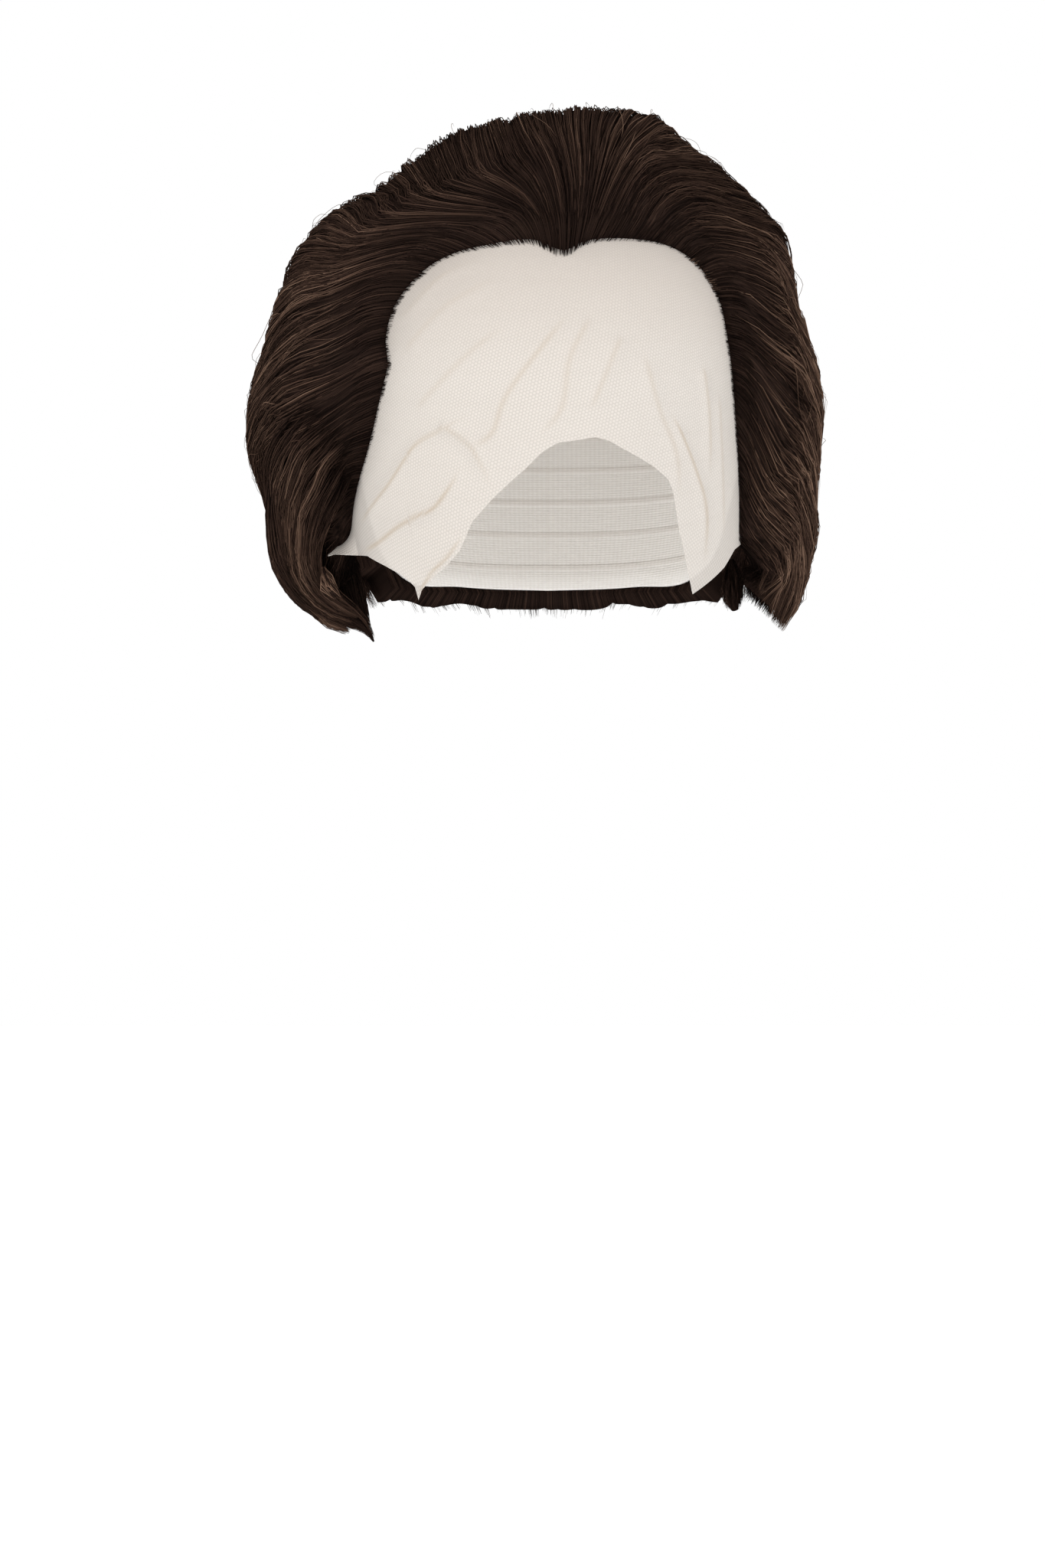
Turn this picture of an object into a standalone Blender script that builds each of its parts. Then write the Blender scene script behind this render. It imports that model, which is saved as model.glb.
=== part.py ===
# Lace front wig in its worn form: a net foundation cap, a sheer lace front and brushed-back hair.
# Metres, +Z up, the face looks along -Y. The origin is the crown of the head, inside the cap.
# Tables are in millimetres and degrees. Azimuth is 0 at the face, +90 at +X and 180 at the nape.

import math

import bmesh
import bpy
import numpy as np

MM = 0.001

# The head that the cap fits
HALF_WIDTH = 75.0
HALF_LENGTH = 96.0
CROWN_RISE = 88.0
CENTRE = np.array([0.0, 0.0, -CROWN_RISE])
PLAN_POWER = 2.2
PROFILE_POWER = 2.4
# How far below the centre the form would close: at the face, the sides and the nape
FACE_DROP = 160.0
SIDE_DROP = 125.0
NAPE_DROP = 105.0

# Walls and the clearances between them
CAP_WALL = 1.2
LACE_WALL = 1.0
SEAM_GAP = 1.2
HAIR_LIFT = 1.8
PARTING_GAP = 0.5

# Front hairline from the wearer's right sideburn (at -X) to the left one, seen from the front
HAIRLINE = [
    {"x": -70.8, "z": -132.0},
    {"x": -68.8, "z": -118.0},
    {"x": -63.6, "z": -102.0},
    {"x": -58.4, "z": -82.0},
    {"x": -56.2, "z": -73.0},
    {"x": -57.0, "z": -65.0},
    {"x": -54.6, "z": -54.0},
    {"x": -47.3, "z": -44.0},
    {"x": -37.0, "z": -36.8},
    {"x": -22.0, "z": -33.0},
    {"x": -4.0, "z": -32.0},
    {"x": 4.4, "z": -35.6},
    {"x": 12.0, "z": -32.0},
    {"x": 28.0, "z": -30.2},
    {"x": 41.0, "z": -31.6},
    {"x": 52.0, "z": -37.8},
    {"x": 59.0, "z": -48.5},
    {"x": 62.0, "z": -62.0},
    {"x": 64.6, "z": -84.0},
    {"x": 66.4, "z": -108.0},
    {"x": 67.0, "z": -133.0},
]

# How the hair is brushed, lock by lock: share is how far along the hairline the lock starts, over is
# the direction that it passes on its way back, tip is where it ends, and body is its depth
FLOW = [
    {"lock": 0, "share": 0, "over_az": -80, "over_up": -44, "tip_az": -74, "tip_z": -141, "body": 9, "tip_body": 5},
    {"lock": 0.9, "share": 0.06, "over_az": -88, "over_up": -25, "tip_az": -82, "tip_z": -146, "body": 15, "tip_body": 7},
    {"lock": 2.3, "share": 0.12, "over_az": -98, "over_up": -5, "tip_az": -93, "tip_z": -160, "body": 22, "tip_body": 9},
    {"lock": 4.2, "share": 0.2, "over_az": -102, "over_up": 3, "tip_az": -104, "tip_z": -160, "body": 30, "tip_body": 9},
    {"lock": 6.3, "share": 0.27, "over_az": -104, "over_up": 13, "tip_az": -114, "tip_z": -159, "body": 31, "tip_body": 9},
    {"lock": 8.2, "share": 0.33, "over_az": -106, "over_up": 20, "tip_az": -124, "tip_z": -157, "body": 28, "tip_body": 8},
    {"lock": 11, "share": 0.39, "over_az": -112, "over_up": 36, "tip_az": -138, "tip_z": -155, "body": 22.5, "tip_body": 8},
    {"lock": 13.8, "share": 0.44, "over_az": -122, "over_up": 48, "tip_az": -154, "tip_z": -154, "body": 14, "tip_body": 8},
    {"lock": 16.8, "share": 0.475, "over_az": -146, "over_up": 64, "tip_az": -168, "tip_z": -154, "body": 17, "tip_body": 8},
    {"lock": 20, "share": 0.505, "over_az": 180, "over_up": 80, "tip_az": 180, "tip_z": -154, "body": 23, "tip_body": 8},
    {"lock": 23.2, "share": 0.535, "over_az": 146, "over_up": 64, "tip_az": 168, "tip_z": -154, "body": 24, "tip_body": 8},
    {"lock": 26.2, "share": 0.56, "over_az": 126, "over_up": 46, "tip_az": 156, "tip_z": -154, "body": 24, "tip_body": 8},
    {"lock": 29, "share": 0.62, "over_az": 114, "over_up": 36, "tip_az": 140, "tip_z": -154, "body": 23, "tip_body": 8},
    {"lock": 31.2, "share": 0.68, "over_az": 108, "over_up": 28, "tip_az": 126, "tip_z": -155, "body": 20.5, "tip_body": 8},
    {"lock": 33.4, "share": 0.74, "over_az": 103, "over_up": 18, "tip_az": 110, "tip_z": -155, "body": 21, "tip_body": 8},
    {"lock": 35.4, "share": 0.8, "over_az": 100, "over_up": 13, "tip_az": 100, "tip_z": -158, "body": 21, "tip_body": 9},
    {"lock": 37.4, "share": 0.87, "over_az": 96, "over_up": 4, "tip_az": 90, "tip_z": -162, "body": 21, "tip_body": 10},
    {"lock": 38.9, "share": 0.93, "over_az": 88, "over_up": -14, "tip_az": 82, "tip_z": -160, "body": 18, "tip_body": 9},
    {"lock": 40, "share": 1, "over_az": 78, "over_up": -36, "tip_az": 72, "tip_z": -149, "body": 10, "tip_body": 5},
]
OVER_PULL = 1.25
RISE_LENGTH = 15.0
ROOT_BODY = 1.4
END_TAPER = 0.3

# Locks: two grid columns to each, with a ridge between two furrows
LOCKS = 40
LOCK_RELIEF = 3.0
TIP_POINT = 6.0
WAVE_LENGTH = 58.0
WAVE_HEIGHT = 1.7
ROWS = 18

# Hair sections: the locks and the part of the hair's length that each one covers
SECTIONS = [
    {"name": "hair_right_side", "from": 0, "to": 10, "start": 0.0, "end": 1.0},
    {"name": "hair_front_top", "from": 10, "to": 30, "start": 0.0, "end": 6 / ROWS},
    {"name": "hair_crown", "from": 10, "to": 30, "start": 6 / ROWS, "end": 12 / ROWS},
    {"name": "hair_back", "from": 10, "to": 30, "start": 12 / ROWS, "end": 1.0},
    {"name": "hair_left_side", "from": 30, "to": LOCKS, "start": 0.0, "end": 1.0},
]

# Lower rim of the cap by azimuth: the lace seam in front, an ear tab, the ear notch and the nape
CAP_RIM = [
    {"az": 0, "z": -14.0},
    {"az": 20, "z": -15.0},
    {"az": 36, "z": -19.0},
    {"az": 47, "z": -30.0},
    {"az": 55, "z": -52.0},
    {"az": 62, "z": -84.0},
    {"az": 71, "z": -114.0},
    {"az": 79, "z": -136.0},
    {"az": 87, "z": -137.0},
    {"az": 92, "z": -124.0},
    {"az": 97, "z": -102.0},
    {"az": 104, "z": -94.0},
    {"az": 112, "z": -96.0},
    {"az": 120, "z": -108.0},
    {"az": 128, "z": -132.0},
    {"az": 136, "z": -141.0},
    {"az": 158, "z": -145.0},
    {"az": 180, "z": -146.0},
]
CAP_RINGS = 10

# Lower edge of the lace by azimuth, uncut, with two pointed flaps and a notch over the nose
LACE_EDGE = [
    {"az": -78, "z": -138.5},
    {"az": -68, "z": -138.0},
    {"az": -58, "z": -138.6},
    {"az": -47, "z": -140.5},
    {"az": -40, "z": -144.0},
    {"az": -31, "z": -154.0},
    {"az": -25.5, "z": -149.0},
    {"az": -17.5, "z": -139.0},
    {"az": -14, "z": -129.5},
    {"az": -10, "z": -118.7},
    {"az": -6, "z": -111.0},
    {"az": -1, "z": -104.4},
    {"az": 4, "z": -101.0},
    {"az": 9, "z": -100.3},
    {"az": 15, "z": -102.8},
    {"az": 22, "z": -109.3},
    {"az": 27, "z": -113.0},
    {"az": 30, "z": -122.0},
    {"az": 31.5, "z": -136.0},
    {"az": 35, "z": -153.0},
    {"az": 41, "z": -148.5},
    {"az": 51, "z": -141.5},
    {"az": 57, "z": -137.0},
    {"az": 67, "z": -136.5},
    {"az": 78, "z": -137.5},
]
LACE_ROWS = 11

# Folds in the lace: each runs between two points seen from the front and stands out by height
LACE_FOLDS = [
    {"x0": -63, "z0": -139, "x1": -31, "z1": -101, "height": 2.6, "width": 4.5},
    {"x0": -41, "z0": -150, "x1": -17, "z1": -114, "height": 3.0, "width": 5.0},
    {"x0": -20, "z0": -118, "x1": -2, "z1": -66, "height": 1.6, "width": 5.0},
    {"x0": 2, "z0": -96, "x1": 10, "z1": -62, "height": 1.6, "width": 4.0},
    {"x0": 44, "z0": -140, "x1": 33, "z1": -80, "height": 2.2, "width": 4.0},
    {"x0": 55, "z0": -146, "x1": 52, "z1": -78, "height": 2.0, "width": 3.5},
]
FOLD_MARGIN = 12.0

# Free locks, as stations along the middle of each: thick is across its flow, broad is front to back
ROLLED_LOCK = [
    {"x": -94.4, "y": -26.0, "z": -116.0, "thick": 0.8, "broad": 2.0},
    {"x": -95.8, "y": -23.5, "z": -122.0, "thick": 2.5, "broad": 6.0},
    {"x": -96.4, "y": -19.8, "z": -130.0, "thick": 4.0, "broad": 10.0},
    {"x": -95.4, "y": -17.0, "z": -140.0, "thick": 4.8, "broad": 12.0},
    {"x": -90.0, "y": -15.5, "z": -150.0, "thick": 5.2, "broad": 12.5},
    {"x": -81.5, "y": -15.0, "z": -157.5, "thick": 5.0, "broad": 11.0},
    {"x": -72.5, "y": -15.0, "z": -161.0, "thick": 3.6, "broad": 8.0},
    {"x": -66.0, "y": -15.5, "z": -165.0, "thick": 1.6, "broad": 3.5},
    {"x": -63.6, "y": -16.0, "z": -169.0, "thick": 0.5, "broad": 0.8},
]
UNDER_LOCK = [
    {"x": 65.3, "y": 8.0, "z": -138.0, "thick": 0.9, "broad": 2.0},
    {"x": 65.0, "y": 8.0, "z": -144.0, "thick": 2.3, "broad": 4.6},
    {"x": 64.6, "y": 8.0, "z": -151.0, "thick": 2.8, "broad": 5.6},
    {"x": 65.2, "y": 7.5, "z": -156.5, "thick": 1.9, "broad": 4.0},
    {"x": 66.4, "y": 7.0, "z": -160.5, "thick": 0.5, "broad": 1.0},
]
LOCK_SIDES = 10
LOCK_RIB = 0.14

SHARP_ANGLE = 50.0
HAIR_COLOUR = (0.026, 0.014, 0.009, 1.0)
HAIR_TIP_COLOUR = (0.05, 0.027, 0.017, 1.0)
LACE_COLOUR = (0.78, 0.69, 0.6, 1.0)
CAP_COLOUR = (0.6, 0.5, 0.41, 1.0)


def unit(vectors):
    return vectors / np.linalg.norm(vectors, axis=-1, keepdims=True)


def towards(azimuth, up):
    """Unit vector at an azimuth and an angle above the horizon, in degrees."""
    az = np.radians(azimuth)
    el = np.radians(up)
    return np.stack([np.sin(az) * np.cos(el), -np.cos(az) * np.cos(el), np.sin(el)], axis=-1)


def head_radius(direction):
    """Distance from the head's centre to its surface."""
    across = np.hypot(direction[..., 0], direction[..., 1]) + 1e-9
    sideways = (direction[..., 0] / across) ** 2
    lengthways = 1.0 - sideways
    end_drop = np.where(direction[..., 1] < 0, FACE_DROP, NAPE_DROP)
    below = SIDE_DROP * sideways + end_drop * lengthways
    tall = np.where(direction[..., 2] >= 0, CROWN_RISE, below)
    plan = (np.abs(direction[..., 0]) / HALF_WIDTH) ** PLAN_POWER
    plan = plan + (np.abs(direction[..., 1]) / HALF_LENGTH) ** PLAN_POWER
    rise = (np.abs(direction[..., 2]) / tall) ** PROFILE_POWER
    return (plan ** (PROFILE_POWER / PLAN_POWER) + rise) ** (-1.0 / PROFILE_POWER)


def off_head(direction, lift):
    """Points at a height above the head's surface, in each direction from its centre."""
    return CENTRE + direction * (head_radius(direction) + lift)[..., None]


def up_to_height(azimuth, height):
    """Angle above the horizon at which the head's surface is at this height."""
    low = np.full(np.shape(azimuth), -75.0)
    high = np.full(np.shape(azimuth), 90.0)
    for _ in range(40):
        middle = (low + high) / 2
        direction = towards(azimuth, middle)
        z = CENTRE[2] + direction[..., 2] * head_radius(direction)
        low = np.where(z < height, middle, low)
        high = np.where(z < height, high, middle)
    return (low + high) / 2


def seen_from_front(x, z):
    """Direction to the point of the face side of the head at this x and z."""
    near = np.full(np.shape(x), -130.0)
    far = np.zeros(np.shape(x))
    for _ in range(40):
        y = (near + far) / 2
        offset = np.stack([x, y, z - CENTRE[2]], axis=-1)
        outside = np.linalg.norm(offset, axis=-1) > head_radius(unit(offset))
        near = np.where(outside, y, near)
        far = np.where(outside, far, y)
    return unit(np.stack([x, (near + far) / 2, z - CENTRE[2]], axis=-1))


def column(table, name):
    return np.array([row[name] for row in table], float)


def smooth_through(knots, values, at):
    """Catmull-Rom curve through values at uneven knots. values may hold vectors."""
    values = np.asarray(values, float)
    slopes = np.gradient(values, knots, axis=0)
    at = np.clip(at, knots[0], knots[-1])
    left = np.clip(np.searchsorted(knots, at, side="right") - 1, 0, len(knots) - 2)
    span = knots[left + 1] - knots[left]
    u = (at - knots[left]) / span
    if values.ndim > 1:
        u = u[..., None]
        span = span[..., None]
    first = (2 * u**3 - 3 * u**2 + 1) * values[left] + (u**3 - 2 * u**2 + u) * span * slopes[left]
    second = (3 * u**2 - 2 * u**3) * values[left + 1] + (u**3 - u**2) * span * slopes[left + 1]
    return first + second


def hairline_direction(share):
    """Direction of the hairline's point at a share of its length."""
    directions = seen_from_front(column(HAIRLINE, "x"), column(HAIRLINE, "z"))
    points = off_head(directions, 0.0)
    steps = np.linalg.norm(np.diff(points, axis=0), axis=1)
    along = np.concatenate([[0.0], np.cumsum(steps)]) / steps.sum()
    return unit(smooth_through(along, directions, share))


def flow_value(name, locks):
    return smooth_through(column(FLOW, "lock"), column(FLOW, name), locks)


def flow_direction(azimuth_name, up, locks):
    return unit(smooth_through(column(FLOW, "lock"), towards(column(FLOW, azimuth_name), up), locks))


def from_ridge(locks):
    """0 on the ridge of each lock and 1 in the furrows on both sides of it."""
    return np.abs(locks - np.floor(locks) - 0.5) * 2


def hair_paths(locks, lengths):
    """Directions and distances combed along the hair, on a grid of locks by shares of their length."""
    fine = np.linspace(0.0, 1.0, 81)
    root = hairline_direction(flow_value("share", locks))[:, None]
    over = flow_direction("over_az", column(FLOW, "over_up"), locks)[:, None]
    tip_up = up_to_height(column(FLOW, "tip_az"), column(FLOW, "tip_z"))
    tip = flow_direction("tip_az", tip_up, locks)[:, None]
    t = fine[None, :, None]
    bend = unit((1 - t) ** 2 * root + 2 * t * (1 - t) * OVER_PULL * over + t**2 * tip)
    points = off_head(bend, 0.0)
    steps = np.linalg.norm(np.diff(points, axis=1), axis=2)
    along = np.concatenate([np.zeros((len(locks), 1)), np.cumsum(steps, axis=1)], axis=1)
    total = along[:, -1:]
    ends = np.where(lengths[None, :] == 1.0, TIP_POINT * from_ridge(locks)[:, None], 0.0)
    distance = lengths[None, :] * total - ends
    directions = np.empty((len(locks), len(lengths), 3))
    for i in range(len(locks)):
        for axis in range(3):
            directions[i, :, axis] = np.interp(distance[i], along[i], bend[i, :, axis])
    return unit(directions), distance, total


def finger_wave(locks, distance):
    """Height of the waves, whose crests run round the head and drift from lock to lock."""
    drift = 0.55 * np.sin(locks * 0.9) + 0.4 * np.sin(locks * 0.37 + 1.3)
    return WAVE_HEIGHT * np.sin(2 * math.pi * distance / WAVE_LENGTH + drift[:, None])


def lock_furrow(locks, lengths):
    """Depth of the furrows between the locks."""
    depth = 0.7 + 0.3 * np.sin(np.round(locks)[:, None] * 2.4 + 5.0 * lengths[None, :])
    return LOCK_RELIEF * from_ridge(locks)[:, None] * depth


def hair_surface(locks, lengths):
    """Outer points of the combed hair."""
    directions, distance, total = hair_paths(locks, lengths)
    rise = 1.0 - np.exp(-distance / RISE_LENGTH)
    from_tip = np.clip((total - distance) / (END_TAPER * total), 0.0, 1.0)
    ease = from_tip * from_tip * (3 - 2 * from_tip)
    body = flow_value("body", locks)[:, None]
    tip_body = flow_value("tip_body", locks)[:, None]
    depth = (tip_body + (body - tip_body) * ease) * rise
    relief = (finger_wave(locks, distance) - lock_furrow(locks, lengths)) * rise
    return off_head(directions, HAIR_LIFT + ROOT_BODY + depth + relief)


def hair_lining(locks, lengths):
    """Inner points of the hair, just clear of the cap and the lace."""
    directions, _, _ = hair_paths(locks, lengths)
    return off_head(directions, np.full(directions.shape[:2], HAIR_LIFT))


def new_object(name, mesh_points, faces, colour, roughness):
    """A mesh object of one closed body, from points in millimetres."""
    mesh = bpy.data.meshes.new(name)
    mesh.from_pydata([tuple(p) for p in np.asarray(mesh_points) * MM], [], faces)
    work = bmesh.new()
    work.from_mesh(mesh)
    bmesh.ops.recalc_face_normals(work, faces=work.faces)
    work.to_mesh(mesh)
    work.free()
    mesh.shade_smooth()
    mesh.set_sharp_from_angle(angle=math.radians(SHARP_ANGLE))
    obj = bpy.data.objects.new(name, mesh)
    bpy.context.collection.objects.link(obj)
    obj.data.materials.append(finish(name, colour, roughness))
    return obj


def finish(name, colour, roughness):
    material = bpy.data.materials.new(name)
    material.use_nodes = True
    shader = material.node_tree.nodes["Principled BSDF"]
    shader.inputs["Base Color"].default_value = colour
    shader.inputs["Roughness"].default_value = roughness
    shader.inputs["Metallic"].default_value = 0.0
    return material


def walled_sheet(outer, inner):
    """Points and faces of the closed body between two grids of the same size."""
    rows, columns = outer.shape[:2]
    count = rows * columns
    points = np.concatenate([outer.reshape(-1, 3), inner.reshape(-1, 3)])
    faces = []
    for i in range(rows - 1):
        for j in range(columns - 1):
            a = i * columns + j
            quad = (a, a + 1, a + columns + 1, a + columns)
            faces.append(quad)
            faces.append(tuple(k + count for k in reversed(quad)))
    top = [j for j in range(columns)]
    right = [i * columns + columns - 1 for i in range(1, rows)]
    bottom = [(rows - 1) * columns + j for j in range(columns - 2, -1, -1)]
    left = [i * columns for i in range(rows - 2, 0, -1)]
    border = top + right + bottom + left
    for a, b in zip(border, border[1:] + border[:1]):
        # Neighbouring bodies split their facing walls along the same diagonal, so that the gap stays even
        if a < b:
            faces += [(b, a, b + count), (a, a + count, b + count)]
        else:
            faces += [(b, a, a + count), (b, a + count, b + count)]
    return points, faces


def cap_rim_height(azimuth):
    return smooth_through(column(CAP_RIM, "az"), column(CAP_RIM, "z"), np.abs(azimuth))


def front_azimuths():
    """The azimuths that the lace and the front of the cap share, so that their seam runs parallel."""
    rim = column(CAP_RIM, "az")
    rim = rim[rim <= 78.0]
    return np.unique(np.concatenate([column(LACE_EDGE, "az"), rim, -rim]))


def make_cap():
    """Dome over the head with ear notches: rings from the crown to the rim."""
    rim = column(CAP_RIM, "az")
    back = rim[(rim > 78.0) & (rim < 180.0)]
    azimuths = np.concatenate([-back[::-1], front_azimuths(), back, [180.0]])
    rim_up = up_to_height(azimuths, cap_rim_height(azimuths))
    shares = np.linspace(1.0 / CAP_RINGS, 1.0, CAP_RINGS)
    ups = 90.0 - shares[:, None] * (90.0 - rim_up[None, :])
    directions = towards(np.broadcast_to(azimuths, ups.shape), ups)
    inner = off_head(directions, np.zeros(ups.shape))
    outer = off_head(directions, np.full(ups.shape, CAP_WALL))
    around = len(azimuths)
    count = CAP_RINGS * around
    points = [*outer.reshape(-1, 3), *inner.reshape(-1, 3)]
    crown = np.array([0.0, 0.0, 0.0])
    points += [crown + [0.0, 0.0, CAP_WALL], crown]
    faces = []
    for k in range(around):
        after = (k + 1) % around
        faces.append((2 * count, k, after))
        faces.append((2 * count + 1, count + after, count + k))
        for ring in range(CAP_RINGS - 1):
            a, b = ring * around + k, ring * around + after
            faces.append((a, a + around, b + around, b))
            faces.append((count + a, count + b, count + b + around, count + a + around))
        last = (CAP_RINGS - 1) * around
        faces.append((last + k, count + last + k, count + last + after, last + after))
    return new_object("foundation_cap", points, faces, CAP_COLOUR, 0.8)


def fold_height(x, z):
    """How far the folds lift the lace at points seen from the front."""
    height = np.zeros(np.shape(x))
    for fold in LACE_FOLDS:
        run = np.array([fold["x1"] - fold["x0"], fold["z1"] - fold["z0"]], float)
        length = np.hypot(*run)
        along = ((x - fold["x0"]) * run[0] + (z - fold["z0"]) * run[1]) / length**2
        aside = ((x - fold["x0"]) * run[1] - (z - fold["z0"]) * run[0]) / length
        fade = np.clip(1.0 - along, 0.0, 1.0) * np.clip((along + 0.3) / 0.3, 0.0, 1.0)
        height += fold["height"] * fade * np.exp(-((aside / fold["width"]) ** 2))
    return height


def clear_of_hair(x, z):
    """From 0 at the hairline to 1 well inside it, for points seen from the front."""
    line_x = column(HAIRLINE, "x")
    line_z = column(HAIRLINE, "z")
    half = len(HAIRLINE) // 2
    left = np.interp(z, line_z[:half], line_x[:half])
    right = np.interp(z, line_z[half + 2:][::-1], line_x[half + 2:][::-1])
    margin = np.minimum(np.minimum(x - left, right - x), line_z[half + 1] - z)
    return np.clip(margin / FOLD_MARGIN, 0.0, 1.0)


def make_lace():
    """Sheer panel from the cap's front seam, under the hair, to its uncut lower edge."""
    azimuths = front_azimuths()
    edge = smooth_through(column(LACE_EDGE, "az"), column(LACE_EDGE, "z"), azimuths)
    top = up_to_height(azimuths, cap_rim_height(azimuths) - SEAM_GAP)
    bottom = np.minimum(up_to_height(azimuths, edge), top - 0.8)
    shares = np.linspace(0.0, 1.0, LACE_ROWS)
    ups = top[None, :] + shares[:, None] * (bottom - top)[None, :]
    directions = towards(np.broadcast_to(azimuths, ups.shape), ups)
    seen = off_head(directions, np.zeros(ups.shape))
    lift = fold_height(seen[..., 0], seen[..., 2]) * clear_of_hair(seen[..., 0], seen[..., 2])
    inner = off_head(directions, lift)
    outer = off_head(directions, lift + LACE_WALL)
    points, faces = walled_sheet(outer, inner)
    return new_object("lace_front", points, faces, LACE_COLOUR, 0.75)


def make_hair_section(section):
    """One section of the combed hair, with a ridge and two furrows for each lock."""
    locks = np.arange(2 * section["from"], 2 * section["to"] + 1) / 2.0
    lengths = np.arange(round(section["start"] * ROWS), round(section["end"] * ROWS) + 1) / ROWS
    outer = hair_surface(locks, lengths)
    inner = hair_lining(locks, lengths)
    pull_in(outer, section)
    pull_in(inner, section)
    points, faces = walled_sheet(outer, inner)
    return new_object(section["name"], points, faces, HAIR_COLOUR, 0.45)


def make_free_lock(name, table):
    """A tapered lock swept along its stations, ribbed along its length."""
    path = np.stack([column(table, axis) for axis in "xyz"], axis=1)
    knots = np.arange(len(table), dtype=float)
    at = np.linspace(0.0, knots[-1], 3 * len(table) - 2)
    middle = smooth_through(knots, path, at)
    along = unit(np.gradient(middle, axis=0))
    across = unit(np.cross(along, [0.0, 1.0, 0.0]))
    beside = np.cross(across, along)
    turn = np.linspace(0.0, 2 * math.pi, LOCK_SIDES, endpoint=False)
    rib = 1.0 - LOCK_RIB * (np.arange(LOCK_SIDES) % 2)
    thick = smooth_through(knots, column(table, "thick"), at)[:, None] * np.cos(turn) * rib
    broad = smooth_through(knots, column(table, "broad"), at)[:, None] * np.sin(turn) * rib
    rings = middle[:, None] + thick[..., None] * across[:, None] + broad[..., None] * beside[:, None]
    count = len(at) * LOCK_SIDES
    points = [*rings.reshape(-1, 3), middle[0] - 0.6 * along[0], middle[-1] + 0.6 * along[-1]]
    faces = []
    for k in range(LOCK_SIDES):
        after = (k + 1) % LOCK_SIDES
        faces.append((count, after, k))
        faces.append((count + 1, count - LOCK_SIDES + k, count - LOCK_SIDES + after))
        for ring in range(0, count - LOCK_SIDES, LOCK_SIDES):
            faces.append((ring + k, ring + after, ring + LOCK_SIDES + after, ring + LOCK_SIDES + k))
    return new_object(name, points, faces, HAIR_TIP_COLOUR, 0.45)


def pull_in(grid, section):
    """Draws a section's borders in by half a parting gap where it meets a neighbour."""
    half = PARTING_GAP / 2
    if section["from"] > 0:
        grid[0] += half * unit(grid[1] - grid[0])
    if section["to"] < LOCKS:
        grid[-1] += half * unit(grid[-2] - grid[-1])
    if section["start"] > 0.0:
        grid[:, 0] += half * unit(grid[:, 1] - grid[:, 0])
    if section["end"] < 1.0:
        grid[:, -1] += half * unit(grid[:, -2] - grid[:, -1])


def main():
    for old in list(bpy.data.objects):
        bpy.data.objects.remove(old)
    make_cap()
    make_lace()
    for section in SECTIONS:
        make_hair_section(section)
    make_free_lock("hair_rolled_lock", ROLLED_LOCK)
    make_free_lock("hair_under_lock", UNDER_LOCK)


main()
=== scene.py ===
# Dresses the lace front wig: net cap, sheer lace panel, combed hair and its strands
import math

import bpy
import numpy as np
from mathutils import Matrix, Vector


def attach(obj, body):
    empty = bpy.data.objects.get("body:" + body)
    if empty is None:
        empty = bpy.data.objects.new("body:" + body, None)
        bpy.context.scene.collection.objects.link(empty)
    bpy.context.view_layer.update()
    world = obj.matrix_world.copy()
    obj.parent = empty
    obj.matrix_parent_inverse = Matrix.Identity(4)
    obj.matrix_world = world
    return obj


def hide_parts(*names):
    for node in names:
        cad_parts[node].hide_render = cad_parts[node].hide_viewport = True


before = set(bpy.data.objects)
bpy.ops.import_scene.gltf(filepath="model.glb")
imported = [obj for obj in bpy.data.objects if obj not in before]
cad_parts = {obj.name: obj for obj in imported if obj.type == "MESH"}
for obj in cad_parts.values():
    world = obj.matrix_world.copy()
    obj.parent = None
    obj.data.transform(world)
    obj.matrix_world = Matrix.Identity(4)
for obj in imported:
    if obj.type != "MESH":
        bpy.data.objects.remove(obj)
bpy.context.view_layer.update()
mm = 0.001


# Node trees are written as expressions on their wires
class Wire:
    # One node output. Arithmetic on it adds Math nodes to its tree.
    def __init__(self, tree, socket):
        self.tree = tree
        self.socket = socket

    def maths(self, operation, other=None, swapped=False):
        ends = [self] if other is None else [other, self] if swapped else [self, other]
        return self.tree.node("ShaderNodeMath", {"operation": operation}, dict(enumerate(ends)))

    def __add__(self, other): return self.maths("ADD", other)
    def __radd__(self, other): return self.maths("ADD", other)
    def __sub__(self, other): return self.maths("SUBTRACT", other)
    def __rsub__(self, other): return self.maths("SUBTRACT", other, True)
    def __mul__(self, other): return self.maths("MULTIPLY", other)
    def __rmul__(self, other): return self.maths("MULTIPLY", other)
    def __truediv__(self, other): return self.maths("DIVIDE", other)
    def __rtruediv__(self, other): return self.maths("DIVIDE", other, True)
    def __pow__(self, other): return self.maths("POWER", other)

    def smooth(self, low, high):
        # 0 at low, 1 at high, eased at both ends
        return self.tree.node("ShaderNodeMapRange", {"interpolation_type": "SMOOTHSTEP"},
                              {"Value": self, "From Min": low, "From Max": high})


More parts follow.
